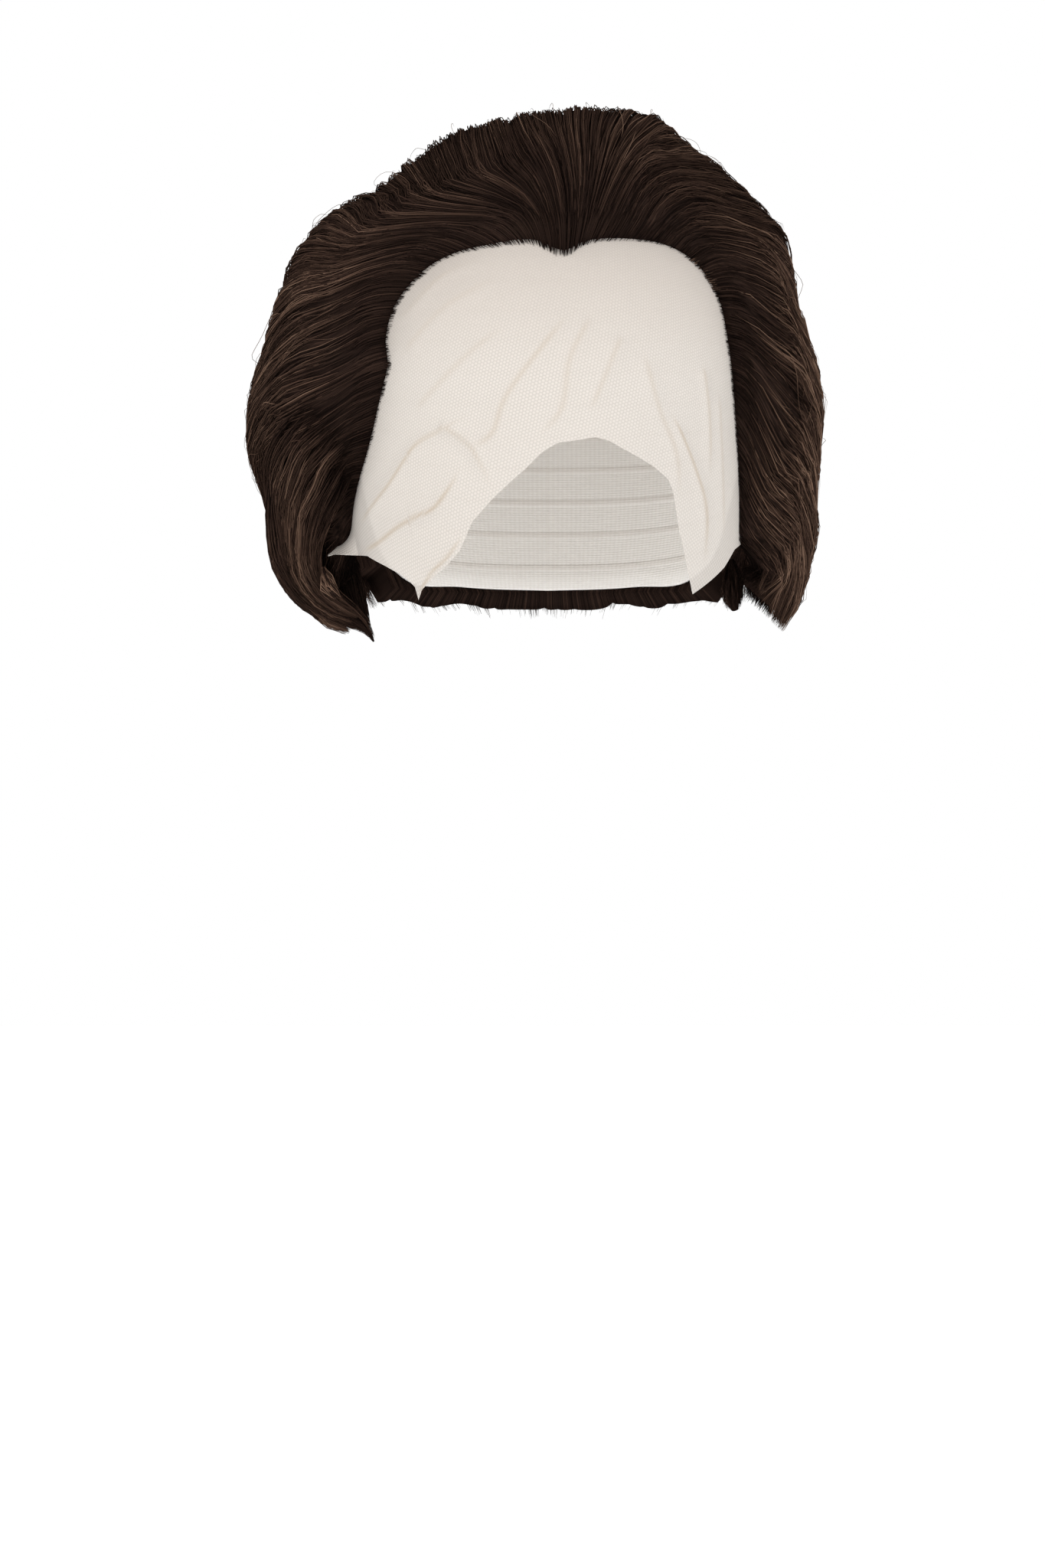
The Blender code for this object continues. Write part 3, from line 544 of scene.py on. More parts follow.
def makeStrandTree():
    # Strands over a guide sheet, in one tree that every set of them uses
    grow = strandGrowth
    group = bpy.data.node_groups.new("growStrands", "GeometryNodeTree")
    group.interface.new_socket("Geometry", in_out="INPUT", socket_type="NodeSocketGeometry")
    kinds = {
        "guide": "Object", "strands": "Int", "seed": "Int", "lockFrom": "Float", "lockTo": "Float",
        "startFrom": "Float", "startTo": "Float", "lengthFrom": "Float", "lengthTo": "Float",
        "wispsPerLock": "Float", "gather": "Float", "sway": "Float", "liftFrom": "Float", "liftTo": "Float",
        "stray": "Float", "thickness": "Float", "spacing": "Float", "lockWidth": "Float", "locks": "Float",
        "before": "Float", "tintFrom": "Float", "tintTo": "Float", "finish": "Material",
    }
    sockets = {}
    for name, kind in kinds.items():
        socket = group.interface.new_socket(name, in_out="INPUT", socket_type="NodeSocket" + kind)
        sockets[name] = socket.identifier
    group.interface.new_socket("Geometry", in_out="OUTPUT", socket_type="NodeSocketGeometry")
    tree = Tree(group)
    given = group.nodes.new("NodeGroupInput")
    value = {name: Wire(tree, given.outputs[name]) for name in kinds}

    line = tree.node("GeometryNodeCurvePrimitiveLine", {}, {"Start": (0, 0, 0), "End": (0, 0, 1)})
    line = tree.node("GeometryNodeResampleCurve", {"mode": "COUNT"},
                     {"Curve": line, "Count": grow["points"]})
    copies = tree.node("GeometryNodeDuplicateElements", {"domain": "SPLINE"},
                       {"Geometry": line, "Amount": value["strands"]}, output=0)
    number = Wire(tree, copies.socket.node.outputs[1])
    curves = tree.node("GeometryNodeStoreNamedAttribute", {"data_type": "INT", "domain": "CURVE"},
                       {"Geometry": copies, "Name": "strand", "Value": number})
    strand = tree.node("GeometryNodeInputNamedAttribute", {"data_type": "INT"}, {"Name": "strand"})
    share = tree.node("GeometryNodeSplineParameter", output=0)

    def chance(low, high, offset):
        # A number for each strand
        return tree.node("FunctionNodeRandomValue", {"data_type": "FLOAT"},
                         {"Min": low, "Max": high, "ID": strand, "Seed": value["seed"] + offset})

    lock = chance(value["lockFrom"], value["lockTo"], 1)
    start = chance(value["startFrom"], value["startTo"], 2)
    run = chance(value["lengthFrom"], value["lengthTo"], 3)

    # Wisps: strands that start in the same cell gather towards its middle line
    rank = (start * grow["ranks"] + chance(0.0, grow["rankChance"], 4)).maths("FLOOR")
    cell = (lock * value["wispsPerLock"] + rank * grow["rankAside"]).maths("FLOOR")
    cellPlace = tree.node("ShaderNodeCombineXYZ", {}, {"X": cell, "Y": rank, "Z": value["seed"]})
    luck = tree.node("ShaderNodeTexWhiteNoise", {"noise_dimensions": "3D"},
                     {"Vector": cellPlace}, output=1)
    luckA, luckB, luckC = tree.split(luck)
    last = grow["lastEnd"] - luckA * grow["endByWisp"] - chance(0.0, 1.0, 11) ** 2.0 * grow["endByStrand"]
    end = (start + run).maths("MINIMUM", last)
    t = start + (end - start) * share
    middle = cell - rank * grow["rankAside"] + 0.5 + (luckA - 0.5) * grow["rankSpread"]
    middle = middle / value["wispsPerLock"]
    pull = grow["pullFrom"] + (1.0 - grow["pullFrom"]) * share.smooth(0.0, 1.0)
    pull = value["gather"] * pull * chance(grow["pullChance"], 1.0, 5)
    side = lock + (middle - lock) * pull
    aside = (side - middle) * value["wispsPerLock"]
    swing = (2 * math.pi * (t * grow["swings"] + luckB)).maths("SINE")
    swing = swing * value["sway"] * (luckC - grow["swingMiddle"])
    noiseAside = chance(0.0, grow["strayRange"], 6)
    noisePlace = tree.node("ShaderNodeCombineXYZ", {}, {"X": t * grow["strayRun"], "Y": noiseAside})
    drift = tree.node("ShaderNodeTexNoise", {"noise_dimensions": "2D"},
                      {"Vector": noisePlace, "Scale": 1.0, "Detail": 1.0}, output=1)
    driftX, driftY, _ = tree.split(drift)
    awake = t.smooth(0.0, grow["rootRun"])
    wander = (swing + (driftX - 0.5) * value["stray"] * grow["strayAside"]) * awake
    side = side + wander / value["lockWidth"]
    side = side.maths("MAXIMUM", grow["edgeGap"]).maths("MINIMUM", value["locks"] - grow["edgeGap"])
    up = chance(value["liftFrom"], value["liftTo"], 7)
    up = up + luckB * grow["wispLift"] - aside * aside * grow["roundness"]
    up = up + (driftY - 0.5) * value["stray"] * grow["strayUp"]
    up = up - (1.0 - share.smooth(0.0, grow["rootSinkRun"])) * grow["rootSink"] * awake
    up = (up - share.smooth(grow["tipSinkFrom"], 1.0) * grow["tipSink"]) * awake

    # Painted shade darkens the roots, the gaps between wisps and the strands that lie low; painted light
    # brightens the strands on top of a wisp
    # Each strand's own tone, plus a tone for each wisp that is partly the hair's own and partly painted
    # highlight streaks
    mixing = chance(0.0, grow["tintByStrand"], 8) + luckC * grow["wispToneAndHighlight"]
    tint = value["tintFrom"] + (value["tintTo"] - value["tintFrom"]) * mixing
    tint = tint + chance(0.0, 1.0, 9) ** grow["brightPower"] * grow["bright"]
    # Painted light on raised strands, painted shade on low ones, in the gaps between wisps and at the roots
    tint = tint + (up + grow["liftMiddle"]) * grow["lightAndShadeByLift"] - aside * aside * grow["gapShade"]
    tint = tint - (1.0 - share.smooth(0.0, grow["rootShadeRun"])) * grow["rootShade"]
    curves = tree.node("GeometryNodeStoreNamedAttribute", {"data_type": "FLOAT", "domain": "POINT"},
                       {"Geometry": curves, "Name": "tint", "Value": tint})

    # Each point is set over the place of the guide that has its lock and its share of the length
    along = (t + value["before"]) / (1.0 + value["before"])
    at = tree.node("ShaderNodeCombineXYZ", {}, {"X": side / value["locks"], "Y": along})
    surface = tree.node("GeometryNodeObjectInfo", {}, {"Object": value["guide"]}, output=4)
    vectors = {"data_type": "FLOAT_VECTOR"}
    flowMap = tree.node("GeometryNodeInputNamedAttribute", vectors, {"Name": "flow"})
    position = tree.node("GeometryNodeInputPosition")
    outwards = tree.node("GeometryNodeInputNamedAttribute", vectors, {"Name": "outwards"})
    seat, lean = (tree.node("GeometryNodeSampleUVSurface", vectors,
                            {"Mesh": surface, "Value": read, "UV Map": flowMap, "Sample UV": at}, output=0)
                  for read in (position, outwards))
    raised = tree.node("ShaderNodeVectorMath", {"operation": "SCALE"}, {0: lean, "Scale": up * mm})
    place = tree.node("ShaderNodeVectorMath", {"operation": "ADD"}, {0: seat, 1: raised})
    curves = tree.node("GeometryNodeSetPosition", {}, {"Geometry": curves, "Position": place})
    thick = (1.0 - grow["rootThickness"]) * share.smooth(0.0, grow["rootThicknessRun"])
    thinning = grow["tipThinning"] * share.smooth(grow["tipThinFrom"], 1.0)
    thick = value["thickness"] * (grow["rootThickness"] + thick) * (1.0 - thinning)
    thick = thick * chance(grow["thicknessFrom"], grow["thicknessTo"], 10)
    curves = tree.node("GeometryNodeSetCurveRadius", {}, {"Curve": curves, "Radius": thick})
    curves = tree.node("GeometryNodeResampleCurve", {"mode": "LENGTH"},
                       {"Curve": curves, "Length": value["spacing"]})
    # A ring 1 mm across, so a strand's thickness is in millimetres
    ring = tree.node("GeometryNodeCurvePrimitiveCircle", {},
                     {"Resolution": grow["sides"], "Radius": 0.5 * mm}, output=0)
    radius = tree.node("GeometryNodeInputRadius")
    strands = tree.node("GeometryNodeCurveToMesh", {},
                        {"Curve": curves, "Profile Curve": ring, "Scale": radius, "Fill Caps": True})
    strands = tree.node("GeometryNodeRealizeInstances", {}, {"Geometry": strands})
    strands = tree.node("GeometryNodeSetMaterial", {}, {"Geometry": strands, "Material": value["finish"]})
    leave = group.nodes.new("NodeGroupOutput")
    tree.join(strands, leave.inputs[0])
    return group, sockets


strandTree, strandSockets = makeStrandTree()


def makeGuide(name, points, flowMap, outwards):
    # A sheet that the strands are sampled from, and that isn't part of the wig
    rows, columns = points.shape[:2]
    guide = newPiece(name, points.reshape(-1, 3), gridFaces(rows, columns), None, flowMap.reshape(-1, 2))
    lean = guide.data.attributes.new("outwards", "FLOAT_VECTOR", "POINT")
    lean.data.foreach_set("vector", outwards.reshape(-1, 3).astype(np.float32).ravel())
    return guide


def flowGrid(across, along):
    return np.stack(np.meshgrid(across, along, indexing="ij"), axis=-1)


def makeCombedGuide():
    locks = np.linspace(0.0, hair["locks"], hair["locks"] * hair["guideColumns"] + 1)
    lengths = np.linspace(-hair["before"], 1.0, hair["guideRows"])
    over = combedOver(locks, lengths)
    points = combedSurface(over, np.repeat(locks[:, None], len(lengths), axis=1), lengths)
    flowMap = flowGrid(locks / hair["locks"], np.linspace(0.0, 1.0, len(lengths)))
    return makeGuide("combedGuide", points, flowMap, unit(points - capCentre))


strandFinish = makeStrandFinish()
# What a set of strands has where it says nothing else
plainStrands = {
    "finish": strandFinish, "wispsPerLock": 2.2, "gather": 0.7, "sway": 1.2, "lift": (-1.4, 0.5),
    "stray": 0.5, "thickness": 0.36, "spacing": 9.5 * mm, "lockWidth": 12.0,
    "locks": float(hair["locks"]), "before": hair["before"], "tint": (0.15, 0.85),
}


def growStrands(name, guide, sizes):
    # Strands along a guide, made a plain mesh that rides on the wig
    carrier = bpy.data.objects.new(name + "Carrier", bpy.data.meshes.new(name + "Carrier"))
    bpy.context.scene.collection.objects.link(carrier)
    modifier = carrier.modifiers.new("grow", "NODES")
    modifier.node_group = strandTree
    for label, value in {**plainStrands, "guide": guide, **sizes}.items():
        # A range fills two inputs
        for end, number in zip(("From", "To"), value) if isinstance(value, tuple) else [("", value)]:
            modifier[strandSockets[label + end]] = number
    bpy.context.view_layer.update()
    graph = bpy.context.evaluated_depsgraph_get()
    mesh = bpy.data.meshes.new_from_object(carrier.evaluated_get(graph))
    bpy.data.objects.remove(carrier)
    mesh.name = name
    mesh.shade_smooth()
    piece = bpy.data.objects.new(name, mesh)
    bpy.context.scene.collection.objects.link(piece)
    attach(piece, "root")
    print(name, sum(len(p.vertices) - 2 for p in mesh.polygons), "triangles")


combedGuide = makeCombedGuide()
# What several sets share
sideHair = {"strands": 3000, "start": (0.0, 0.75), "length": (0.25, 0.6), "wispsPerLock": 3.0,
            "gather": 0.55}
topHair = {"lock": (9.5, 30.5)}
finerTopHair = {**topHair, "wispsPerLock": 3.4, "gather": 0.5}
frontEdge = {"strands": 420, "start": (0.0, 0.7), "length": (0.3, 0.8), "gather": 0.1,
             "lift": (-8.0, 0.0), "spacing": 5 * mm, "tint": (0.15, 0.55)}
tipFill = {"start": (0.7, 0.86), "length": (0.2, 0.3), "gather": 0.45, "spacing": 7 * mm}
roots = {"gather": 0.0, "sway": 0.25, "stray": 0.25, "lift": (0.0, 0.35), "spacing": 2.5 * mm,
         "wispsPerLock": 5.0, "tint": (0.15, 0.4)}
sideRoots = {**roots, "strands": 230, "length": (0.03, 0.06), "thickness": 0.5}
strandSets = {
    "strands_right_side": {**sideHair, "seed": 11, "lock": (0.1, 10.5)},
    "strands_left_side": {**sideHair, "seed": 23, "lock": (29.5, 39.9), "tint": (0.24, 1.0)},
    "strands_front_top": {**finerTopHair, "seed": 37, "strands": 2900, "start": (0.0015, 0.1),
                          "length": (0.16, 0.4), "thickness": 0.33, "tint": (0.15, 0.72)},
    "strands_crown": {**finerTopHair, "seed": 41, "strands": 1900, "start": (0.12, 0.6),
                      "length": (0.16, 0.36), "tint": (0.15, 0.75)},
    "strands_back": {**topHair, "seed": 53, "strands": 1700, "start": (0.55, 0.88),
                     "length": (0.2, 0.4), "spacing": 12 * mm},
    "nape_tips": {"seed": 59, "strands": 1500, "lock": (5.0, 36.0), "start": (0.84, 0.93),
                  "length": (0.08, 0.2), "wispsPerLock": 3.0, "gather": 0.5, "lift": (-3.0, 0.0),
                  "thickness": 0.3},
    "right_front_edge": {**frontEdge, "seed": 61, "lock": (0.02, 0.5)},
    "left_front_edge": {**frontEdge, "seed": 62, "lock": (39.5, 39.98)},
    "left_tip_fill": {**tipFill, "seed": 63, "strands": 1100, "lock": (34.5, 39.9),
                      "lift": (-17.0, 0.0)},
    "right_tip_fill": {**tipFill, "seed": 64, "strands": 700, "lock": (0.2, 6.0),
                       "lift": (-8.0, 0.0), "tint": (0.15, 0.6)},
    "hairline_roots": {**roots, "seed": 67, "strands": 330, "lock": (8.5, 31.5),
                       "start": (-0.0085, 0.0), "length": (0.02, 0.035), "thickness": 0.42},
    "hairline_right": {**sideRoots, "seed": 68, "lock": (0.1, 9.0), "start": (-0.015, 0.0)},
    "hairline_left": {**sideRoots, "seed": 69, "lock": (31.0, 39.9), "start": (-0.014, 0.0)},
    "temple_roots": {**roots, "seed": 70, "strands": 60, "lock": (31.2, 32.9),
                     "start": (-0.011, -0.004), "length": (0.008, 0.016), "lift": (0.2, 0.5),
                     "thickness": 0.45, "tint": (0.95, 1.15)},
    "flyaways": {"seed": 97, "strands": 900, "lock": (0.5, 39.5), "start": (0.04, 0.9),
                 "length": (0.03, 0.1), "gather": 0.0, "sway": 3.0, "stray": 1.6,
                 "lift": (0.2, 1.7), "spacing": 4 * mm, "thickness": 0.15},
    "loose_loops": {"seed": 101, "strands": 60, "lock": (1.0, 39.0), "start": (0.02, 0.5),
                    "length": (0.12, 0.3), "gather": 0.0, "sway": 8.0, "stray": 3.0,
                    "lift": (0.6, 2.0), "spacing": 4 * mm, "thickness": 0.18, "tint": (0.4, 0.9)},
}
for name, sizes in strandSets.items():
    growStrands(name, combedGuide, sizes)
bpy.data.objects.remove(combedGuide)
print("strands grown")


# Free locks. A station is a point of the middle line, how thick the lock is and how broad it is there.
# This is the one that rolls under.
rolledLock = {
    "node": "hair_rolled_lock",
    "stations": [
        (-97.5, -25.0, -102.0, 1.5, 3.0), (-97.5, -23.5, -112.0, 4.0, 7.0),
        (-96.2, -20.8, -122.0, 6.0, 10.0), (-94.6, -18.5, -131.0, 7.2, 12.0),
        (-92.2, -17.0, -140.0, 8.0, 12.5), (-87.3, -15.5, -149.0, 7.4, 12.5),
        (-80.5, -15.0, -155.8, 5.8, 11.0), (-72.5, -15.0, -160.0, 3.8, 8.0),
        (-66.5, -15.5, -164.2, 1.6, 3.5), (-63.6, -16.0, -169.0, 0.4, 0.8)],
    "strands": 420, "seed": 71, "tint": (0.1, 0.6), "stray": 0.3,
}
# The short lock behind the left side
underLock = {
    "node": "hair_under_lock",
    "stations": [
        (67.0, 8.0, -138.0, 0.9, 2.0), (67.4, 8.0, -144.0, 2.3, 4.6), (67.6, 8.0, -151.0, 2.8, 5.6),
        (67.9, 7.5, -154.6, 2.3, 4.0), (68.4, 7.0, -156.6, 1.5, 2.2)],
    "strands": 420, "seed": 83, "tint": (0.0, 0.45), "stray": 1.3,
}
# The light brown tuft that curls in the hollow beside the rolled lock
curl = {
    "node": None, "name": "hair_curl",
    "stations": [
        (-81.4, -31.0, -142.6, 0.3, 0.3), (-80.6, -33.5, -146.0, 1.3, 1.5),
        (-79.0, -34.5, -149.2, 1.9, 2.0), (-77.0, -34.0, -152.2, 1.5, 1.5),
        (-75.0, -32.0, -153.6, 0.3, 0.3)],
    "strands": 260, "seed": 89, "tint": (0.5, 1.2), "stray": 0.7,
}
# The hair inside the rolled lock's hollow, tinted darker than the rest as painted shade of the hollow
hollow = {
    "node": None, "name": "hair_hollow",
    "stations": [
        (-76.5, -6.0, -134.0, 4.0, 5.0), (-75.8, -6.0, -140.0, 5.2, 5.0), (-73.8, -7.0, -149.0, 5.3, 5.0),
        (-71.0, -9.0, -156.0, 4.2, 4.0), (-67.2, -11.0, -162.5, 1.8, 2.0),
        (-65.2, -12.0, -166.0, 0.7, 0.8)],
    "strands": 240, "seed": 91, "tint": (-0.1, 0.12), "stray": 0.5,
}
lockGrid = {"around": 25, "steps": 40, "core": 0.86, "streaksShare": 0.12, "thinnest": 0.1}
# Strands on a guide of their own, and those that run along a free lock, over its core
freeStrands = {"lock": (0.0, 8.0), "locks": 8.0, "before": 0.0}
lockStrands = {
    **freeStrands, "start": (0.0, 0.45), "length": (0.3, 0.7), "lockWidth": 7.0, "wispsPerLock": 1.0,
    "spacing": 6 * mm, "lift": (-0.6, 0.3), "sway": 0.4,
}


def lockSurface(stations, around, steps):
    # Rings round the lock's middle: thick is across its flow and broad is front to back
    table = np.array(stations, float)
    knots = np.arange(len(table), dtype=float)
    at = np.linspace(0.0, knots[-1], steps)
    middle = smoothThrough(knots, table[:, :3], at)
    along = unit(np.gradient(middle, axis=0))
    across = unit(np.cross(along, [0.0, 1.0, 0.0]))
    beside = np.cross(across, along)
    turn = np.linspace(0.0, 2 * math.pi, around)
    thick = np.maximum(smoothThrough(knots, table[:, 3], at), lockGrid["thinnest"])[:, None] * np.cos(turn)
    broad = np.maximum(smoothThrough(knots, table[:, 4], at), lockGrid["thinnest"])[:, None] * np.sin(turn)
    lean = thick[..., None] * across[:, None] + broad[..., None] * beside[:, None]
    return middle, middle[:, None] + lean, unit(lean)


def makeFreeLock(lock):
    around, steps = lockGrid["around"], lockGrid["steps"]
    middle, rings, outwards = lockSurface(lock["stations"], around, steps)
    core = middle[:, None] + (rings - middle[:, None]) * lockGrid["core"]
    count = steps * (around - 1)
    points = np.concatenate([core[:, :-1].reshape(-1, 3), middle[:1], middle[-1:]])
    faces = []
    for k in range(around - 1):
        after = (k + 1) % (around - 1)
        faces.append((count, after, k))
        faces.append((count + 1, count - around + 1 + k, count - around + 1 + after))
        for ring in range(0, count - around + 1, around - 1):
            faces.append((ring + k, ring + after, ring + around - 1 + after, ring + around - 1 + k))
    turns = np.linspace(0.0, 1.0, around)
    flowMap = flowGrid(np.linspace(0.0, 1.0, steps), turns * lockGrid["streaksShare"])[..., ::-1]
    coreMap = np.concatenate([flowMap[:, :-1].reshape(-1, 2), [[0.0, 0.0], [0.0, 1.0]]])
    name = lock["node"] or lock["name"]
    piece = newPiece(name + "_core", points, faces, underFinish, coreMap)
    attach(piece, "root")
    if lock["node"]:
        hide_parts(lock["node"])
    guideMap = flowGrid(turns, np.linspace(0.0, 1.0, steps))
    guide = makeGuide(name + "Guide", rings.transpose(1, 0, 2), guideMap, outwards.transpose(1, 0, 2))
    own = {label: lock[label] for label in ("strands", "seed", "stray", "tint")}
    growStrands(name + "_strands", guide, {**lockStrands, **own})
    bpy.data.objects.remove(guide)


for lock in (rolledLock, underLock, curl, hollow):
    makeFreeLock(lock)

# The side hair sweeps down over the rolled lock. These are lines along it, from its inner edge to its
# outer one, with the x and z where the camera sees each point and its depth y between them.
sweep = {
    "lines": [
        [(-71.5, -50, -109), (-75.5, -43, -117), (-79.3, -36, -124.5), (-82.2, -31, -131.5),
         (-83.8, -28, -138), (-83.4, -26, -145), (-80.6, -24.5, -151), (-75.6, -22, -155.6),
         (-68.8, -20, -158)],
        [(-73, -59, -101), (-79.5, -50, -110.5), (-84.4, -39.5, -120), (-87.4, -33.5, -129),
         (-88.4, -31, -138), (-86.8, -29.5, -146.2), (-82.2, -28.5, -152.8), (-76.1, -26.5, -157.3),
         (-69.4, -22, -160)],
        [(-76, -63.5, -94), (-84.5, -54, -103.5), (-89.8, -40, -115), (-92, -33, -126.5),
         (-92.2, -30.5, -137.5), (-89.6, -29.5, -147), (-84.2, -28.5, -153.6), (-77.2, -26, -158.2),
         (-70.3, -22, -160.8)],
        [(-80, -66, -87), (-90.5, -55, -96.5), (-96.5, -36.5, -109.5), (-97.6, -29, -122.5),
         (-96.8, -26, -135), (-93.6, -25, -146), (-87, -24, -154), (-79, -22, -160.6), (-72, -20, -164.2)],
        [(-87, -65.5, -81), (-98, -46, -89.5), (-103.5, -25, -102.5), (-102.3, -17.5, -118.5),
         (-99.8, -16, -132.5), (-95.8, -15, -144.5), (-88.8, -15, -155.6), (-81.6, -15, -163),
         (-73.4, -15, -166.6)],
    ],
    "columns": 25, "rows": 60,
}
sweepStrands = {
    **freeStrands, "strands": 1700, "seed": 73, "start": (0.0, 0.6), "length": (0.3, 0.75),
    "lockWidth": 3.4, "wispsPerLock": 0.8, "gather": 0.6, "spacing": 7 * mm, "lift": (-1.5, 0.6),
    "sway": 1.0, "stray": 0.35,
}


def moreRows(points, count):
    # A grid with its rows refilled along smooth curves
    rows = len(points)
    fuller = smoothThrough(np.arange(rows), points.reshape(rows, -1), np.linspace(0, rows - 1, count))
    return fuller.reshape(count, -1, 3)


def makeSweep():
    table = np.array(sweep["lines"], float)
    points = moreRows(alongView(table[..., 0], table[..., 1], table[..., 2]), sweep["columns"])
    points = moreRows(points.transpose(1, 0, 2), sweep["rows"]).transpose(1, 0, 2)
    across = np.gradient(points, axis=0)
    outwards = unit(np.cross(np.gradient(points, axis=1), across))
    outwards *= -np.sign(outwards[..., 1:2])
    flowMap = flowGrid(np.linspace(0, 1, sweep["columns"]), np.linspace(0, 1, sweep["rows"]))
    guide = makeGuide("sweepGuide", points, flowMap, outwards)
    growStrands("strands_sweep", guide, sweepStrands)
    bpy.data.objects.remove(guide)


makeSweep()
print("free locks made")


# The net cap: its rim's height by azimuth, the same at both sides, and its rows of weft
capNet = {
    "wall": 1.0, "inside": 0.1, "rings": 36, "around": 144, "hole": 1.6, "weftPitch": 11.0,
    "weftFrom": 0.72, "weftShade": 0.2, "patchScale": 0.09, "patchShade": 0.25, "mapScale": 1.5,
    "roughness": 0.85, "gloss": 0.2,
    "threads": (0.84, 0.80, 0.75, 1.0), "knots": (0.93, 0.90, 0.86, 1.0), "weft": (0.55, 0.47, 0.40, 1.0),
    "worn": (0.94, 0.92, 0.89, 1.0), "bump": 0.0005, "bumpStrength": 0.5, "weftBump": 1.5,
    "rim": [(0, -14.0), (20, -15.0), (36, -19.0), (47, -30.0), (55, -52.0), (62, -84.0), (71, -112.0),
            (79, -129.0), (87, -130.0), (92, -122.0), (97, -102.0), (104, -94.0), (112, -96.0),
            (120, -108.0), (128, -132.0), (136, -141.0), (158, -145.0), (180, -146.0)],
}


def capRimHeight(azimuth):
    rim = np.array(capNet["rim"])
    return smoothThrough(rim[:, 0], rim[:, 1], np.abs(azimuth))


def makeNetFinish():
    # A square net on the bias, with the rows of weft across it
    material, tree, shader = newFinish("netCapFinish", capNet["roughness"], capNet["gloss"])
    flow = tree.node("ShaderNodeUVMap", {"uv_map": "flow"})
    across, down, _ = tree.split(flow)
    turn = 2 * math.pi / capNet["hole"]
    diagonal = ((across * 0.5 + down) * turn).maths("SINE")
    crossing = ((down - across * 0.5) * turn).maths("SINE")
    net = (diagonal * crossing + 1.0) * 0.5
    rows = (down * (2 * math.pi / capNet["weftPitch"])).maths("SINE").smooth(capNet["weftFrom"], 1.0)
    patch = tree.noise(flow, capNet["patchScale"], 3.0)
    colour = tree.mixed(net, capNet["threads"], capNet["knots"])
    colour = tree.mixed(rows * capNet["weftShade"], colour, capNet["weft"])
    colour = tree.mixed(patch * capNet["patchShade"], colour, capNet["worn"])
    tree.join(colour, shader.inputs["Base Color"])
    tree.join(tree.bump(capNet, net + rows * capNet["weftBump"]), shader.inputs["Normal"])
    return material


def makeNetCap():
    around, rings = capNet["around"], capNet["rings"]
    azimuths = np.linspace(-180.0, 180.0, around, endpoint=False)
    rimUp = upToHeight(azimuths, capRimHeight(azimuths))
    shares = np.linspace(1.0 / rings, 1.0, rings)
    ups = 90.0 - shares[:, None] * (90.0 - rimUp[None, :])
    directions = towards(np.broadcast_to(azimuths, ups.shape), ups)
    inner = offCap(directions, np.full(ups.shape, capNet["inside"]))
    outer = offCap(directions, np.full(ups.shape, capNet["wall"]))
    count = rings * around
    crown = np.array([[0.0, 0.0, capNet["wall"]], [0.0, 0.0, capNet["inside"]]])
    points = np.concatenate([outer.reshape(-1, 3), inner.reshape(-1, 3), crown])
    faces = []
    for k in range(around):
        after = (k + 1) % around
        faces.append((2 * count, k, after))
        faces.append((2 * count + 1, count + after, count + k))
        for ring in range(rings - 1):
            a, b = ring * around + k, ring * around + after
            faces.append((a, a + around, b + around, b))
            faces.append((count + a, count + b, count + b + around, count + a + around))
        last = (rings - 1) * around
        faces.append((last + k, count + last + k, count + last + after, last + after))
    # A flow map in millimetres: across, and down from the crown
    spread = np.stack([np.abs(azimuths)[None, :] + 0 * ups, 90.0 - ups], axis=-1) * capNet["mapScale"]
    netMap = np.concatenate([spread.reshape(-1, 2), spread.reshape(-1, 2), [[0.0, 0.0], [0.0, 0.0]]])
    piece = newPiece("net_cap", points, faces, makeNetFinish(), netMap)
    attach(piece, "root")
    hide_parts("foundation_cap")
    return piece


netCap = makeNetCap()
print("net cap made")


